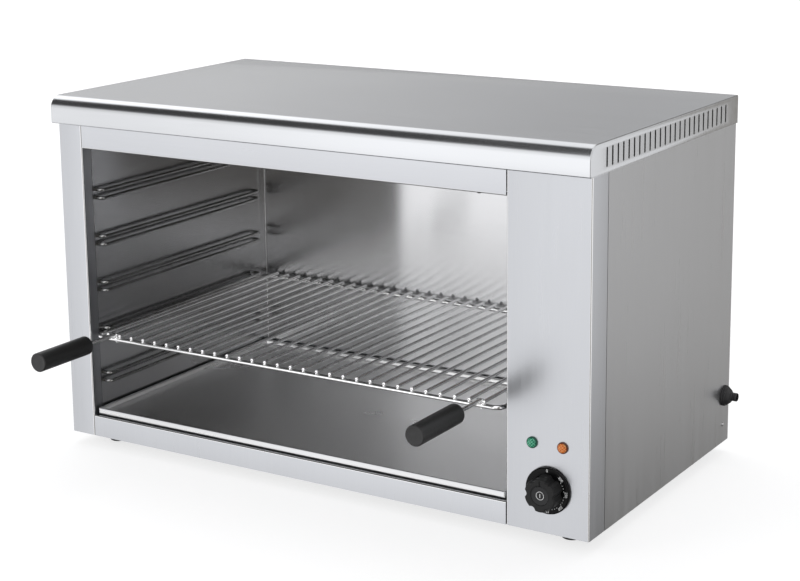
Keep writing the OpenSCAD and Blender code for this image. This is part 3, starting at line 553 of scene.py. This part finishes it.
def cap():
    """The cap: a profile in Y and Z, round the fold, up the front, round the nose, back and down
    the back, drawn along X. Near each end it shrinks along its normals by a quarter circle's
    rise, which rounds the edge. The end faces have a row of round-ended slots."""
    w = np.linspace(0, pi / 2, 7)
    fold = np.stack([CAP_FRONT + CAP_HEM * (1 - np.sin(w)), HEIGHT + CAP_HEM * (1 - np.cos(w))], 1)
    w = np.linspace(pi, pi / 2, 17)
    nose = np.stack([CAP_FRONT + NOSE + NOSE * np.cos(w), CAP_TOP - NOSE + NOSE * np.sin(w)], 1)
    back = rounded([(300.0, CAP_TOP), (DEPTH, CAP_TOP), (DEPTH, HEIGHT)], CAP_BACK_BEND, 5)
    w = np.linspace(0, pi / 2, 6)
    rise, run = CAP_EDGE * (1 - np.cos(w)), CAP_EDGE * (1 - np.sin(w))
    slots = slot_outlines()
    shell = Shell()
    for inset, start in ((0.0, fold), (SHEET, fold[-1:] - [[0, CAP_HEM]])):
        profile = np.vstack([start, nose, back])
        # stations along X: at each end the profile shrinks by rise while X nears the end face
        half = np.stack([CAP_X - inset - run, rise], 1)
        stations = np.vstack([half[::-1] * [-1, 1], half])
        rings = []
        for x, shrink in stations:
            flat = sideways(profile, -(inset + shrink))
            flat[0, 1] = flat[-1, 1] = HEIGHT + inset
            flat[0, 0] = start[0, 0] + inset
            rings.append(np.column_stack([np.full(len(flat), x), flat]))
        rings = np.array(rings)
        shell.loft(rings, around=False, caps=False)
        for end in (0, -1):
            x = rings[end][0, 0]
            loops = [rings[end]] + [np.column_stack([np.full(len(slot), x), slot]) for slot in slots]
            outlines = [[Vector((p[1], p[2], 0)) for p in loop] for loop in loops]
            shell.add(np.vstack(loops), tessellate_polygon(outlines))
    for side in (-1, 1):
        outer, inner = side * CAP_X, side * (CAP_X - SHEET)
        for slot in slots:
            walls = [np.column_stack([np.full(len(slot), x), slot]) for x in (outer, inner)]
            shell.loft(np.array(walls), caps=False)
    return shell


def rim(shell):
    """The cap's folded-in lower edge: a flat ring, and the same ring a sheet higher, joined
    along the opening."""
    loops = []
    side, depth = HALF_W - CAP_FOLD, DEPTH - CAP_FOLD
    for z, inset, front in ((HEIGHT, 0.0, CAP_HEM), (HEIGHT + SHEET, SHEET, SHEET)):
        x, y0, y1 = CAP_X - inset, CAP_FRONT + front, DEPTH - inset
        outer = [(-x, y0), (x, y0), (x, y1), (-x, y1)]
        inner = [(-side, CAP_FOLD), (side, CAP_FOLD), (side, depth), (-side, depth)]
        loops.append([np.column_stack([np.array(flat), np.full(4, z)]) for flat in (outer, inner)])
    (low_out, low_in), (high_out, high_in) = loops
    return shell.loft(np.array([low_out, low_in, high_in, high_out]), caps=False)


dress(rim(cap()), "cap_sheet", "cap_steel", replaces=["top_cap"], smooth=30)


# ---- cavity: guides, tubes, tray -------------------------------------------

def guide(side, level):
    """Two rods, one over the other, each along the wall and bent into it at both ends."""
    wall = OPEN_R if side > 0 else OPEN_L
    x = wall - side * GUIDE_OUT
    low = LEVEL_Z + (level - 1) * LEVEL_PITCH
    shell = Shell()
    for z in (low, low + GUIDE_GAP):
        corners = [(wall, GUIDE_Y0, z), (x, GUIDE_Y0, z), (x, GUIDE_Y1, z), (wall, GUIDE_Y1, z)]
        tube(shell, rounded(corners, GUIDE_BEND, 8), GUIDE_D, Z, 16, 0.05)
    return shell


for side, word in ((-1, "left"), (1, "right")):
    for level in range(1, LEVELS + 1):
        dress(guide(side, level), f"{word}_guide_rods_{level}", "rod_steel",
              replaces=[f"guide_{word}_{level}"])

# the side walls' laps on the back wall end in a rounded edge, drawn in the rack's brighter steel: a
# painted highlight line along each corner
laps = Shell()
for x in (OPEN_L + LAP, OPEN_R - LAP):
    foot, head = TRAY_Z0 + 2, CEILING - 2
    tube(laps, [(x, BACK_Y - SHEET, foot), (x, BACK_Y - SHEET, head)], LAP_EDGE, Y, 12, 0.2)
dress(laps, "corner_lap_edges", "rack_steel")


def element(front):
    """A heating tube: runs along X, one behind the other, joined by half circles, with both
    ends past the cavity's right wall."""
    y = front + TUBE_PITCH * np.arange(TUBE_RUNS)
    left, right = OPEN_L + TUBE_SIDE + TUBE_D / 2, OPEN_R - TUBE_SIDE - TUBE_D / 2
    corners = [(TUBE_TAIL, y[0]), (left, y[0]), (left, y[1]), (right, y[1]),
               (right, y[2]), (left, y[2]), (left, y[3]), (TUBE_TAIL, y[3])]
    path = rounded([(*corner, TUBE_Z) for corner in corners], TUBE_PITCH / 2, 12)
    return tube(Shell(), path, TUBE_D, Z, 20)


for front, word in zip(TUBE_Y, ("front", "rear")):
    dress(element(front), f"{word}_element", "tube_steel", replaces=[f"heating_tube_{word}"])


def hanger(shell, x):
    """A plate in Y and Z with rounded lower corners and a round hole for each run of tube: each
    side is the outline with its holes cut up into triangles, and a wall joins the sides."""
    y0, z0 = TUBE_Y[0] - HANGER_OUT, TUBE_Z - TUBE_D
    y1 = TUBE_Y[1] + (TUBE_RUNS - 1) * TUBE_PITCH + HANGER_OUT
    r, w = HANGER_HOLE / 2, np.arange(24) * pi / 12
    loops = [rounded([(y0, CEILING), (y0, z0), (y1, z0), (y1, CEILING)], HANGER_CORNER, 6)]
    for front in TUBE_Y:
        for y in front + TUBE_PITCH * np.arange(TUBE_RUNS):
            loops.append(np.stack([y + r * np.cos(w), TUBE_Z + r * np.sin(w)], 1))
    cut = tessellate_polygon([[Vector((*p, 0)) for p in loop] for loop in loops])
    sides = [[np.column_stack([np.full(len(p), x + d), p]) for p in loops]
             for d in (-HANGER_T / 2, HANGER_T / 2)]
    for side in sides:
        shell.add(np.vstack(side), cut)
    for near, far in zip(*sides):
        shell.loft(np.array([near, far]), caps=False)
    return shell


plates = Shell()
for x in (OPEN_L + HANGER_IN, (OPEN_L + OPEN_R) / 2, OPEN_R - HANGER_IN):
    hanger(plates, x)
plates.make("hanger_plates", SLOTS["tube_steel"], replaces=["tube_hangers"], slot="liner_steel")


def tray_ring(inset, z, r):
    """The tray's outline, moved in by the inset, at a height: a quarter circle of radius r in
    each corner, turned by a quarter from one corner to the next."""
    x0, x1, y0, y1 = TRAY_X0 + inset, TRAY_X1 - inset, TRAY_Y0 + inset, TRAY_Y1 - inset
    r = max(r, 0.05)
    ring = []
    centres = (x1 - r, y1 - r), (x0 + r, y1 - r), (x0 + r, y0 + r), (x1 - r, y0 + r)
    for k, (x, y) in enumerate(centres):
        w = np.linspace(0, pi / 2, 7) + k * pi / 2
        ring.append(np.stack([x + r * np.cos(w), y + r * np.sin(w)], 1))
    ring = np.vstack(ring)
    return np.column_stack([ring, np.full(len(ring), z)])


def tray():
    """A shallow pan: rings of the outline, from the floor's underside up the wall, over the
    hem's half circle and down inside to the floor. The hem's rings are marked."""
    r, hem, sheet = TRAY_CORNER, TRAY_HEM, TRAY_SHEET
    under = [(1.7, TRAY_Z0, r - 1.7), (1.2, TRAY_Z0, r - 1.2),
             (0.35, TRAY_Z0 + 0.35, r - 0.35), (0, TRAY_Z0 + 1.2, r)]
    over = [(hem - hem * cos(a), TRAY_Z1 - hem + hem * sin(a), r - hem + hem * cos(a))
            for a in np.linspace(0, pi, 9)]
    inside = [(sheet, TRAY_Z1 - 2.6, r - sheet), (sheet, TRAY_Z0 + sheet + 1, r - sheet),
              (1.15, TRAY_Z0 + 1.1, r - 1.1), (2.0, TRAY_Z0 + sheet, 0.5),
              (2.6, TRAY_Z0 + sheet, 0.4)]
    rings = np.array([tray_ring(*ring) for ring in under + over + inside])
    mark = np.r_[np.zeros(len(under)), np.ones(len(over)), np.zeros(len(inside))]
    return Shell().loft(rings, mark=np.repeat(mark, rings.shape[1]))


dress(tray(), "tray_pan", "tray_steel", "tray", ["crumb_tray"], 30)

# ---- rack ------------------------------------------------------------------

corners = [(0, FRAME_Y0), (FRAME_X1, FRAME_Y0), (FRAME_X1, FRAME_Y1), (FRAME_X0, FRAME_Y1),
           (FRAME_X0, FRAME_Y0), (0, FRAME_Y0)]
loop = rounded([(*corner, FRAME_Z) for corner in corners], FRAME_BEND, 10)[:-1]
dress(tube(Shell(), loop, FRAME_D, Z, 20, closed=True), "rack_wire_frame", "rack_steel", "rack",
      ["rack_frame"])

bar_x = BAR_X + BAR_PITCH * np.arange(BAR_N)
bars = Shell()
for x in bar_x:
    tube(bars, [(x, BAR_Y0, BAR_Z), (x, BAR_Y1, BAR_Z)], BAR_D, Z, 20, 0.35)
dress(bars, "rack_wire_bars", "rack_steel", "rack", ["rack_bars"])

# a bead where each bar meets the front wire, and two on each side of a handle wire
welds = Shell()
for x in bar_x:
    bead(welds, (x, BEAD_Y, BEAD_Z), (1.6, 1.3, 2.3))
for x in ROD_X:
    for side in (-1, 1):
        bead(welds, (x + side * 3.6, 1.6, 123.6), (2.6, 2.2, 3.4))
        bead(welds, (x + side * 2.4, 3.4, 127.0), (2.2, 2.4, 2.2))
dress(welds, "rack_weld_beads", "rack_steel", "rack", smooth=80)

rods = Shell()
for x in ROD_X:
    hook = [(x, GRIP_Y1 - ROD_IN_GRIP, ROD_Z), (x, HOOK_Y, ROD_Z), (x, HOOK_Y, ROD_Z - HOOK_DROP)]
    tube(rods, rounded(hook, ROD_BEND, 8), ROD_D, X, 20, 0.5)
dress(rods, "rack_handle_wires", "rack_steel", "rack", ["rack_handle_rods"])


def grip(x):
    """A turned grip: a slightly dished end face, a small round edge, a straight side, a larger
    round edge and a face with the wire's hole."""
    r, length = GRIP_D / 2, GRIP_Y1 - GRIP_Y0
    front_edge, rear_edge = 1.1, 2.4
    profile = [(0, ON_AXIS), (0.25, 3.0), (0.35, 6.5), (0.1, 8.6), (0.0, r - 1.7)]
    profile += [(front_edge * (1 - cos(a)), r - front_edge * (1 - sin(a)))
                for a in np.linspace(0, pi / 2, 6)]
    profile += [(length * k, r) for k in (0.1, 0.5, 0.9)]
    profile += [(length - rear_edge * (1 - sin(a)), r - rear_edge * (1 - cos(a)))
                for a in np.linspace(0, pi / 2, 8)]
    profile += [(length, 3.2), (length - 0.6, 2.7), (length - 0.6, ON_AXIS)]
    return turned(Shell(), profile, np.array([x, GRIP_Y0, ROD_Z]), Y, 64)


for x, word in zip(ROD_X, ("left", "right")):
    dress(grip(x), f"{word}_grip_turned", "grip_black", "rack", [f"{word}_grip"])

# ---- controls --------------------------------------------------------------


def skirt(shell):
    """The knob's skirt: turned, with an eased rear edge and a round front edge."""
    edge = 1.4
    profile = [(0.0, ON_AXIS), (0.0, SKIRT_R - 1), (0.6, SKIRT_R - 0.3), (1.2, SKIRT_R),
               (2.6, SKIRT_R)]
    profile += [(SKIRT_T - edge + edge * sin(a), SKIRT_R - edge + edge * cos(a))
                for a in np.linspace(0, pi / 2, 7)]
    profile += [(SKIRT_T, HUB_R + 1), (SKIRT_T, ON_AXIS)]
    return turned(shell, profile, KNOB, -Y, 120)


def hub(shell):
    """The knob's hub: rings of one radius for each angle, from inside the skirt forward, round
    the front edge, across the face and down into the recess. The rim's radius falls inside each
    of six circles that are cut out of it: along an angle, a circle starts at its centre's share
    of that direction less the half chord. The face has a groove at twelve o'clock, whose walls
    stand where the arc from it, angle times radius, reaches half its width."""
    w = np.arange(360) * pi / 180
    even = np.ones(len(w))
    away = HUB_R + SCALLOP_OUT
    centres = pi / 2 + (np.arange(SCALLOP_N) + 0.5) * 2 * pi / SCALLOP_N
    turn = (w[:, None] - centres + pi) % (2 * pi) - pi
    chord = SCALLOP_R ** 2 - (away * np.sin(turn)) ** 2
    near = away * np.cos(turn) - np.sqrt(np.maximum(chord, 0))
    near = np.where((chord > 0) & (np.abs(turn) < 1), near, away).min(1)
    side = np.minimum(HUB_R, near)
    side = (np.roll(side, 1) + side + np.roll(side, -1)) / 3
    from_top = np.abs((w + pi / 2) % (2 * pi) - pi)

    rings = [((SKIRT_T - 0.5) * even, ON_AXIS * even)]
    steps = [(SKIRT_T - 0.5, 0.4), (HUB_H / 2, 0.15), (HUB_H - HUB_EDGE, 0)]
    steps += [(HUB_H - HUB_EDGE * (1 - sin(a)), -HUB_EDGE * (1 - cos(a)))
              for a in np.linspace(0.2, pi / 2, 7)]
    rings += [(depth * even, side + out) for depth, out in steps]
    for r in np.linspace(FACE_R, RECESS_R + 0.5, 6):
        notch = GROOVE * (from_top * r < GROOVE_W / 2)
        fall = 0.15 * (FACE_R - r) / 5
        rings.append((HUB_H - notch - fall, np.minimum(r, side - HUB_EDGE)))
    rings += [((HUB_H - depth) * even, r * even)
              for depth, r in ((0.3, RECESS_R + 0.15), (0.5, RECESS_R), (RECESS_H, RECESS_R),
                               (RECESS_H, ON_AXIS))]
    grid = [np.stack([KNOB[0] + r * np.cos(w), KNOB[1] - depth, KNOB[2] + r * np.sin(w)], 1)
            for depth, r in rings]
    # the whole hub is marked, and its material paints it lighter than the skirt: a painted sheen
    return shell.loft(np.array(grid), mark=1.0)


dress(hub(skirt(Shell())), "knob_body", "knob_black", "control_knob", ["knob"], 35)


def inlay():
    """The inlay's face is a dish: its height rises with the square of the distance from the
    axis. Its rim is eased."""
    profile = [(0, ON_AXIS), (0, RECESS_R - 0.15), (0.85, RECESS_R - 0.15), (1.0, RECESS_R - 0.4)]
    profile += [(0.35 + 0.6 * (r / RECESS_R) ** 2, r)
                for r in np.linspace(RECESS_R - 0.7, ON_AXIS, 12)]
    return turned(Shell(), profile, KNOB - Y * (HUB_H - RECESS_H), -Y, 96)


dress(inlay(), "knob_inlay", "insert_grey", "control_knob", ["knob_insert"])


def sign(text, height, centre, turn):
    """Raised print: the outline of plain characters as a thin mesh, turned in its own plane by
    an angle and stood on a face that looks along -Y."""
    curve = bpy.data.curves.new("print", "FONT")
    curve.body, curve.size, curve.align_x, curve.align_y = text, height, "CENTER", "CENTER"
    curve.extrude, curve.resolution_u, curve.offset = 0.06, 3, 0.02
    maker = bpy.data.objects.new("print", curve)
    bpy.context.scene.collection.objects.link(maker)
    solid = maker.evaluated_get(bpy.context.evaluated_depsgraph_get())
    mesh = bpy.data.meshes.new_from_object(solid)
    co = np.zeros(len(mesh.vertices) * 3)
    mesh.vertices.foreach_get("co", co)
    faces = [list(p.vertices) for p in mesh.polygons]
    bpy.data.objects.remove(maker)
    bpy.data.curves.remove(curve)
    bpy.data.meshes.remove(mesh)
    x, y, z = co.reshape(-1, 3).T
    c, s = cos(turn), sin(turn)
    return np.stack([x * c - y * s, -z, x * s + y * c], 1) + centre, faces


def on_skirt(angle, r, lift):
    """A place on the skirt's face, by the angle clockwise from the top, in degrees."""
    a = radians(90 - angle)
    return np.array([KNOB[0] + r * cos(a), KNOB[1] - SKIRT_T - lift, KNOB[2] + r * sin(a)])


# the scale: numbers with 45 degrees between them, and dots every 9 degrees between the numbers
scale = Shell()
numbers = {0: "0", 45: "300", 90: "250", 135: "200", 180: "150", 225: "100", 270: "50"}
for angle, text in numbers.items():
    scale.add(*sign(text, 4.0 if angle else 4.6, on_skirt(angle, NUMBER_R, 0.05), -radians(angle)))
for angle in range(45, 271, 9):
    if angle not in numbers:
        turned(scale, [(0, ON_AXIS), (0, DOT_SIZE), (0.1, DOT_SIZE), (0.1, ON_AXIS)],
               on_skirt(angle, DOT_R, 0), -Y, 12)
scale.make("knob_scale", PRINT, "control_knob", slot="insert_grey")

# the mark: a ring and an upright bar on the inlay
mark = Shell()
middle = KNOB - Y * (HUB_H - RECESS_H + 0.38)
turned(mark, [(0, 3.9), (0, 4.4), (0.12, 4.4), (0.12, 3.9), (0, 3.9)], middle, -Y, 64)
tube(mark, [middle - 2.1 * Z, middle + 2.1 * Z], 0.8, Y, 12, 0.15)
mark.make("knob_mark", PRINT, "control_knob", slot="insert_grey")


def bezel(x):
    """A lamp's body: a barrel through the panel, a flange with a round edge and a seat for the
    lens in its face."""
    edge, seat = 0.7, 0.8
    profile = [(-22, ON_AXIS), (-22, BARREL_R), (0, BARREL_R), (0, BEZEL_R),
               (BEZEL_T - edge, BEZEL_R)]
    profile += [(BEZEL_T - edge + edge * sin(a), BEZEL_R - edge + edge * cos(a))
                for a in np.linspace(0, pi / 2, 6)]
    profile += [(1.8, 5.0), (1.2, BARREL_R), (seat, BARREL_R), (seat, ON_AXIS)]
    return turned(Shell(), profile, np.array([x, 0, LAMP_Z]), -Y, 64)


def lens(x):
    """A low dome cut into small pyramids: to the dome, which falls with the square of the
    distance from the axis, it adds the higher of two folded waves that run at 45 degrees to
    the panel's edges; the mark is 1 along their ridges."""
    r = np.r_[LENS_R, LENS_R, np.linspace(LENS_R - 0.2, 0.02, 22)][:, None]
    w = np.arange(96) * pi / 48
    u, v = r * np.cos(w), r * np.sin(w)
    slope = 1.414
    waves = [np.abs((k / FACET_PITCH) % 1 * 2 - 1) for k in ((u + v) / slope, (u - v) / slope)]
    ridge = np.maximum(*waves)
    rise = LENS_RISE + LENS_DOME * (1 - (r / LENS_R) ** 2) + FACET * ridge * (r < LENS_R - 0.15)
    rise[0] = 0
    grid = np.stack([x + u, -0.8 - rise, LAMP_Z + v], -1)
    return Shell().loft(grid, mark=np.clip((ridge - 0.7) / 0.2, 0, 1))


for word, x in LAMPS.items():
    dress(bezel(x), f"{word}_lamp_bezel", f"rim_{word}", replaces=[f"{word}_lamp_body"])
for word, x in LAMPS.items():
    dress(lens(x), f"{word}_lens_dome", f"lens_{word}", replaces=[f"{word}_lens"], smooth=25)

# ---- fittings --------------------------------------------------------------


def gland():
    """The cable gland, as a ring: its thread through the panel, a flange, a step, the dome, the
    ribbed sleeve and the bore."""
    bore, thread, flange, sleeve = 3.8, 7.9, 12.0, 4.8
    profile = [(-14, bore), (-14, thread - 0.6), (-13.4, thread), (0, thread),
               (0, flange), (1.6, flange), (2.0, flange - 0.4), (2.0, 11.2), (3.6, 11.2),
               (4.0, 10.8), (4.0, 10.2), (5.5, 9.6), (7.5, 8.0), (9.0, 6.2), (9.4, 5.0)]
    profile += [(10.6, sleeve), (11.0, 4.6), (11.4, sleeve), (12.4, sleeve), (12.8, 4.6),
                (13.2, sleeve), (15.5, sleeve), (16.0, 4.4), (16.0, bore), (-14, bore)]
    return turned(Shell(), profile, GLAND, X, 64)


def foot(x, y):
    """A rubber foot: a straight side, a rounded lower edge and a hollow for its screw."""
    profile = [(0, ON_AXIS), (0, 11.0), (-12.2, 11.0), (-13.4, 10.8), (-14.4, 10.2), (-15, 9.3),
               (-15, 5.6), (-14.6, 5.0), (-10, 5.0), (-10, ON_AXIS)]
    return turned(Shell(), profile, np.array([x, y, 0.0]), Z, 48)


def screw(shell, centre, axis, r, h, shank, length):
    """A screw with a domed head: over a quarter turn, its height rises with the sine of the
    angle and its radius falls with the angle's square. It has a shallow socket in its crown and
    a plain shank."""
    w = np.linspace(0.15, pi / 2, 7)
    shoulder = 0.3 * h
    rise = shoulder + (h - shoulder) * np.sin(w)
    dome = np.stack([rise, r * (1 - 0.6 * (w / (pi / 2)) ** 2)], 1).tolist()
    socket = min(0.9, 0.6 * h)
    profile = [(-length, ON_AXIS), (-length, shank), (0, shank), (0, r), (shoulder, r)] + dome
    profile += [(h, 0.34 * r), (h - socket, 0.26 * r), (h - socket, ON_AXIS)]
    return turned(shell, profile, np.asarray(centre, float), axis, 32)


dress(gland(), "gland_turned", "gland_black", replaces=["cable_gland"])
for word, (x, y) in FEET.items():
    dress(foot(x, y), f"{word}_foot_moulded", "foot_rubber", replaces=[f"foot_{word}"])

heads = Shell()
reach = HALF_W - BACK_SCREW_IN
for x in np.linspace(-reach, reach, BACK_SCREW_N):
    for z in (BACK_SCREW_IN, HEIGHT - BACK_SCREW_IN):
        screw(heads, (x, DEPTH, z), Y, r=4.0, h=2.0, shank=2.0, length=6.0)
dress(heads, "back_screw_heads", "screw_steel", replaces=["back_screws"])

heads = Shell()
for side in (-1, 1):
    screw(heads, (side * HALF_W, SIDE_SCREW_Y, SIDE_SCREW_Z), side * X,
          r=2.25, h=1.5, shank=1.2, length=0.0)
dress(heads, "side_screw_heads", "screw_steel", replaces=["side_screws"])

# ---- camera, lights and floor ----------------------------------------------

# where the camera stands, in the source's frame, and how it is turned; its focal length and the
# point that its axis meets, in pixels of a picture of this size
CAMERA = np.array([1095.0, -1554.0, 710.0])
YAW, PITCH, ROLL = radians(32.05), radians(11.8), radians(-0.62)
FOCAL, CENTRE = 1832.0, (400.0, 200.0)
WIDE, HIGH = 800, 581
SENSOR = 36.0

ahead = np.array([-sin(YAW) * cos(PITCH), cos(YAW) * cos(PITCH), -sin(PITCH)])
level_right = unit(np.cross(ahead, Z))
level_up = np.cross(level_right, ahead)
right = cos(ROLL) * level_right + sin(ROLL) * level_up
up = -sin(ROLL) * level_right + cos(ROLL) * level_up
optics = bpy.data.cameras.new("view")
optics.sensor_width = SENSOR
optics.lens = FOCAL * SENSOR / WIDE
optics.shift_x = (WIDE / 2 - CENTRE[0]) / WIDE
optics.shift_y = (CENTRE[1] - HIGH / 2) / WIDE
optics.clip_end = 50
camera = bpy.data.objects.new("view", optics)
stand = (CAMERA - ORIGIN) / 1000
axes = [[right[i], up[i], -ahead[i], stand[i]] for i in range(3)]
camera.matrix_world = Matrix(axes + [[0, 0, 0, 1]])
bpy.context.scene.collection.objects.link(camera)
bpy.context.scene.camera = camera


def softbox(name, centre, aim, size, power):
    """A white rectangular lamp at centre, in metres, that faces aim and that no metal mirrors."""
    data = bpy.data.lights.new(name, "AREA")
    data.shape, data.size, data.size_y = "RECTANGLE", *size
    data.energy = power
    lamp = bpy.data.objects.new(name, data)
    lamp.location = centre
    lamp.rotation_euler = (Vector(aim) - Vector(centre)).to_track_quat("-Z", "Y").to_euler()
    lamp.visible_glossy = False
    bpy.context.scene.collection.objects.link(lamp)


softbox("overhead", (-0.3, 0.6, 2.7), (0, 0, 0.2), (2.4, 1.2), 24)
softbox("front left", (-1.7, -2.1, 1.5), (0, 0, 0.2), (1.8, 1.2), 20)


class Sky(Finish):
    """The world's nodes, added in the same way as a material's."""

    def __init__(self, world):
        self.nodes, self.links = world.node_tree.nodes, world.node_tree.links
        self.shader = self.nodes["Background"]


def ray(finish, kind):
    """1 where the ray is of this kind, such as one from the camera, and 0 elsewhere."""
    return finish.node("ShaderNodeLightPath", output=kind)


# The background is white to the camera, and matt surfaces get an even grey from it. Anything
# glossy sees a studio: strips of light and dark that run along X, times a tone that depends on
# the side that the ray goes to. A strip is given by its angle round X, in degrees, from the
# front horizon over the top to the back, and by its tone. across, depth and level are the parts
# of the ray's direction along X, Y and Z.
STRIPS = ((-20, 1.12), (8, 1.12), (21, 1.12), (25, 0.80), (30, 0.38), (36, 0.06), (82, 0.06),
          (89, 0.45), (95, 1.50), (138, 1.50), (148, 0.70), (162, 0.56), (172, 0.57), (185, 0.61))
FIRST, LAST = -30, 210
MATT_GREY = (0.60, 0.605, 0.62)

world = bpy.data.worlds.new("studio")
bpy.context.scene.world = world
world.use_nodes = True
sky = Sky(world)
direction = sky.node("ShaderNodeTexCoord", output=0)
across, depth, level = (sky.node("ShaderNodeSeparateXYZ", {}, {0: direction}, output=k)
                        for k in range(3))
turn = level.math("ARCTAN2", depth * -1.0)
front = sky.spread(depth, 0.02, -0.02)
stops = [((angle - FIRST) / (LAST - FIRST), (tone, tone, tone * 1.01)) for angle, tone in STRIPS]
# on the front's right side there are no strips: the angle is held at the first one
strips = sky.node("ShaderNodeValToRGB", {"stops": stops}, {
    0: sky.spread(turn, radians(FIRST), radians(LAST))
    * (1.0 - front * sky.spread(across, -0.22, -0.08))})
# what the front sheets and the back wall's right half mirror
front_left = (sky.spread(level, -0.37, -0.28, 1.0, 1.38)
              * sky.spread(across, -0.67, -0.53, 0.80, 1.0)
              * sky.spread(level, 0.0, 0.12, 1.0, 0.85))
# what the cavity's left wall and the back wall's left half mirror
front_right = sky.spread(across, 0.49, 0.56, sky.spread(level, -0.1, 0.1, 0.5, 1.15), 0.11)
front_right = front_right.math("MAXIMUM", sky.spread(across, 0.74, 0.86, 0.11, 1.0))
# what the cap's top mirrors
back_left = sky.spread(across, -0.62, -0.42, 1.15, 0.87)
# what the right side and its wrap mirror
back_right = (sky.spread(across, 0.34, 0.39, 0.275, 0.36)
              + sky.spread(across, 0.395, 0.42, 0.0, 0.52))
back_right = back_right * (sky.spread(level, -0.37, -0.29, 0.06, 1.08)
                           + sky.spread(level, -0.52, -0.43, 0.60, 0.0))
to_right = sky.spread(across, -0.05, 0.10)
side_tone = sky.blend(sky.spread(depth, -0.1, 0.1), sky.blend(to_right, front_left, front_right),
                      sky.blend(to_right, back_left, back_right))
matt = ray(sky, "Is Diffuse Ray")
warm = sky.between(sky.spread(side_tone, 0.2, 0.6), (1.06, 1.0, 0.90), (1.0, 1.0, 1.0))
studio = sky.node("ShaderNodeMix", {"data_type": "RGBA", "blend_type": "MULTIPLY"},
                  {0: 1.0, 6: strips, 7: warm}, output=2)
soft = sky.between(matt, studio, MATT_GREY)
seen = ray(sky, "Is Camera Ray") + ray(sky, "Is Transmission Ray")
sky.set("Color", sky.between(seen, soft, (1, 1, 1)))
# straight down, where the floor would be, it is dark
side_tone = side_tone * sky.spread(level, -0.80, -0.58, 0.10, 1.0)
sky.set("Strength", sky.blend(seen.math("MAXIMUM", matt), side_tone, 1.0))

# the floor is white to the camera, with a pale shadow, brighter with distance so that it stays
# white where the lamps don't reach
LIT, DIM = (0.90, 0.90, 0.90), (0.36, 0.36, 0.36)
FLOOR_HALF = 30.0
ground = Finish("pale_floor", LIT, 0.0, 0.9)
here = ground.node("ShaderNodeTexCoord", output=3)
x, y = (ground.node("ShaderNodeSeparateXYZ", {}, {0: here}, output=k) for k in range(2))
seen = ray(ground, "Is Camera Ray")
ground.set("Base Color", ground.between(seen, LIT, DIM))
far = (x * x + y * y).math("SQRT")
ground.set("Emission Color", seen * ground.spread(far, 0.9, 2.6, 0.72, 0.85))
ground.set("Emission Strength", 1.0)
mesh = bpy.data.meshes.new("floor")
square = [(sx * FLOOR_HALF, sy * FLOOR_HALF, 0) for sx, sy in ((-1, -1), (1, -1), (1, 1), (-1, 1))]
mesh.from_pydata(square, [], [[0, 1, 2, 3]])
floor = bpy.data.objects.new("floor", mesh)
bpy.context.scene.collection.objects.link(floor)
mesh.materials.append(ground.material)
floor.visible_glossy = floor.visible_shadow = False

bpy.context.scene.view_settings.view_transform = "Standard"
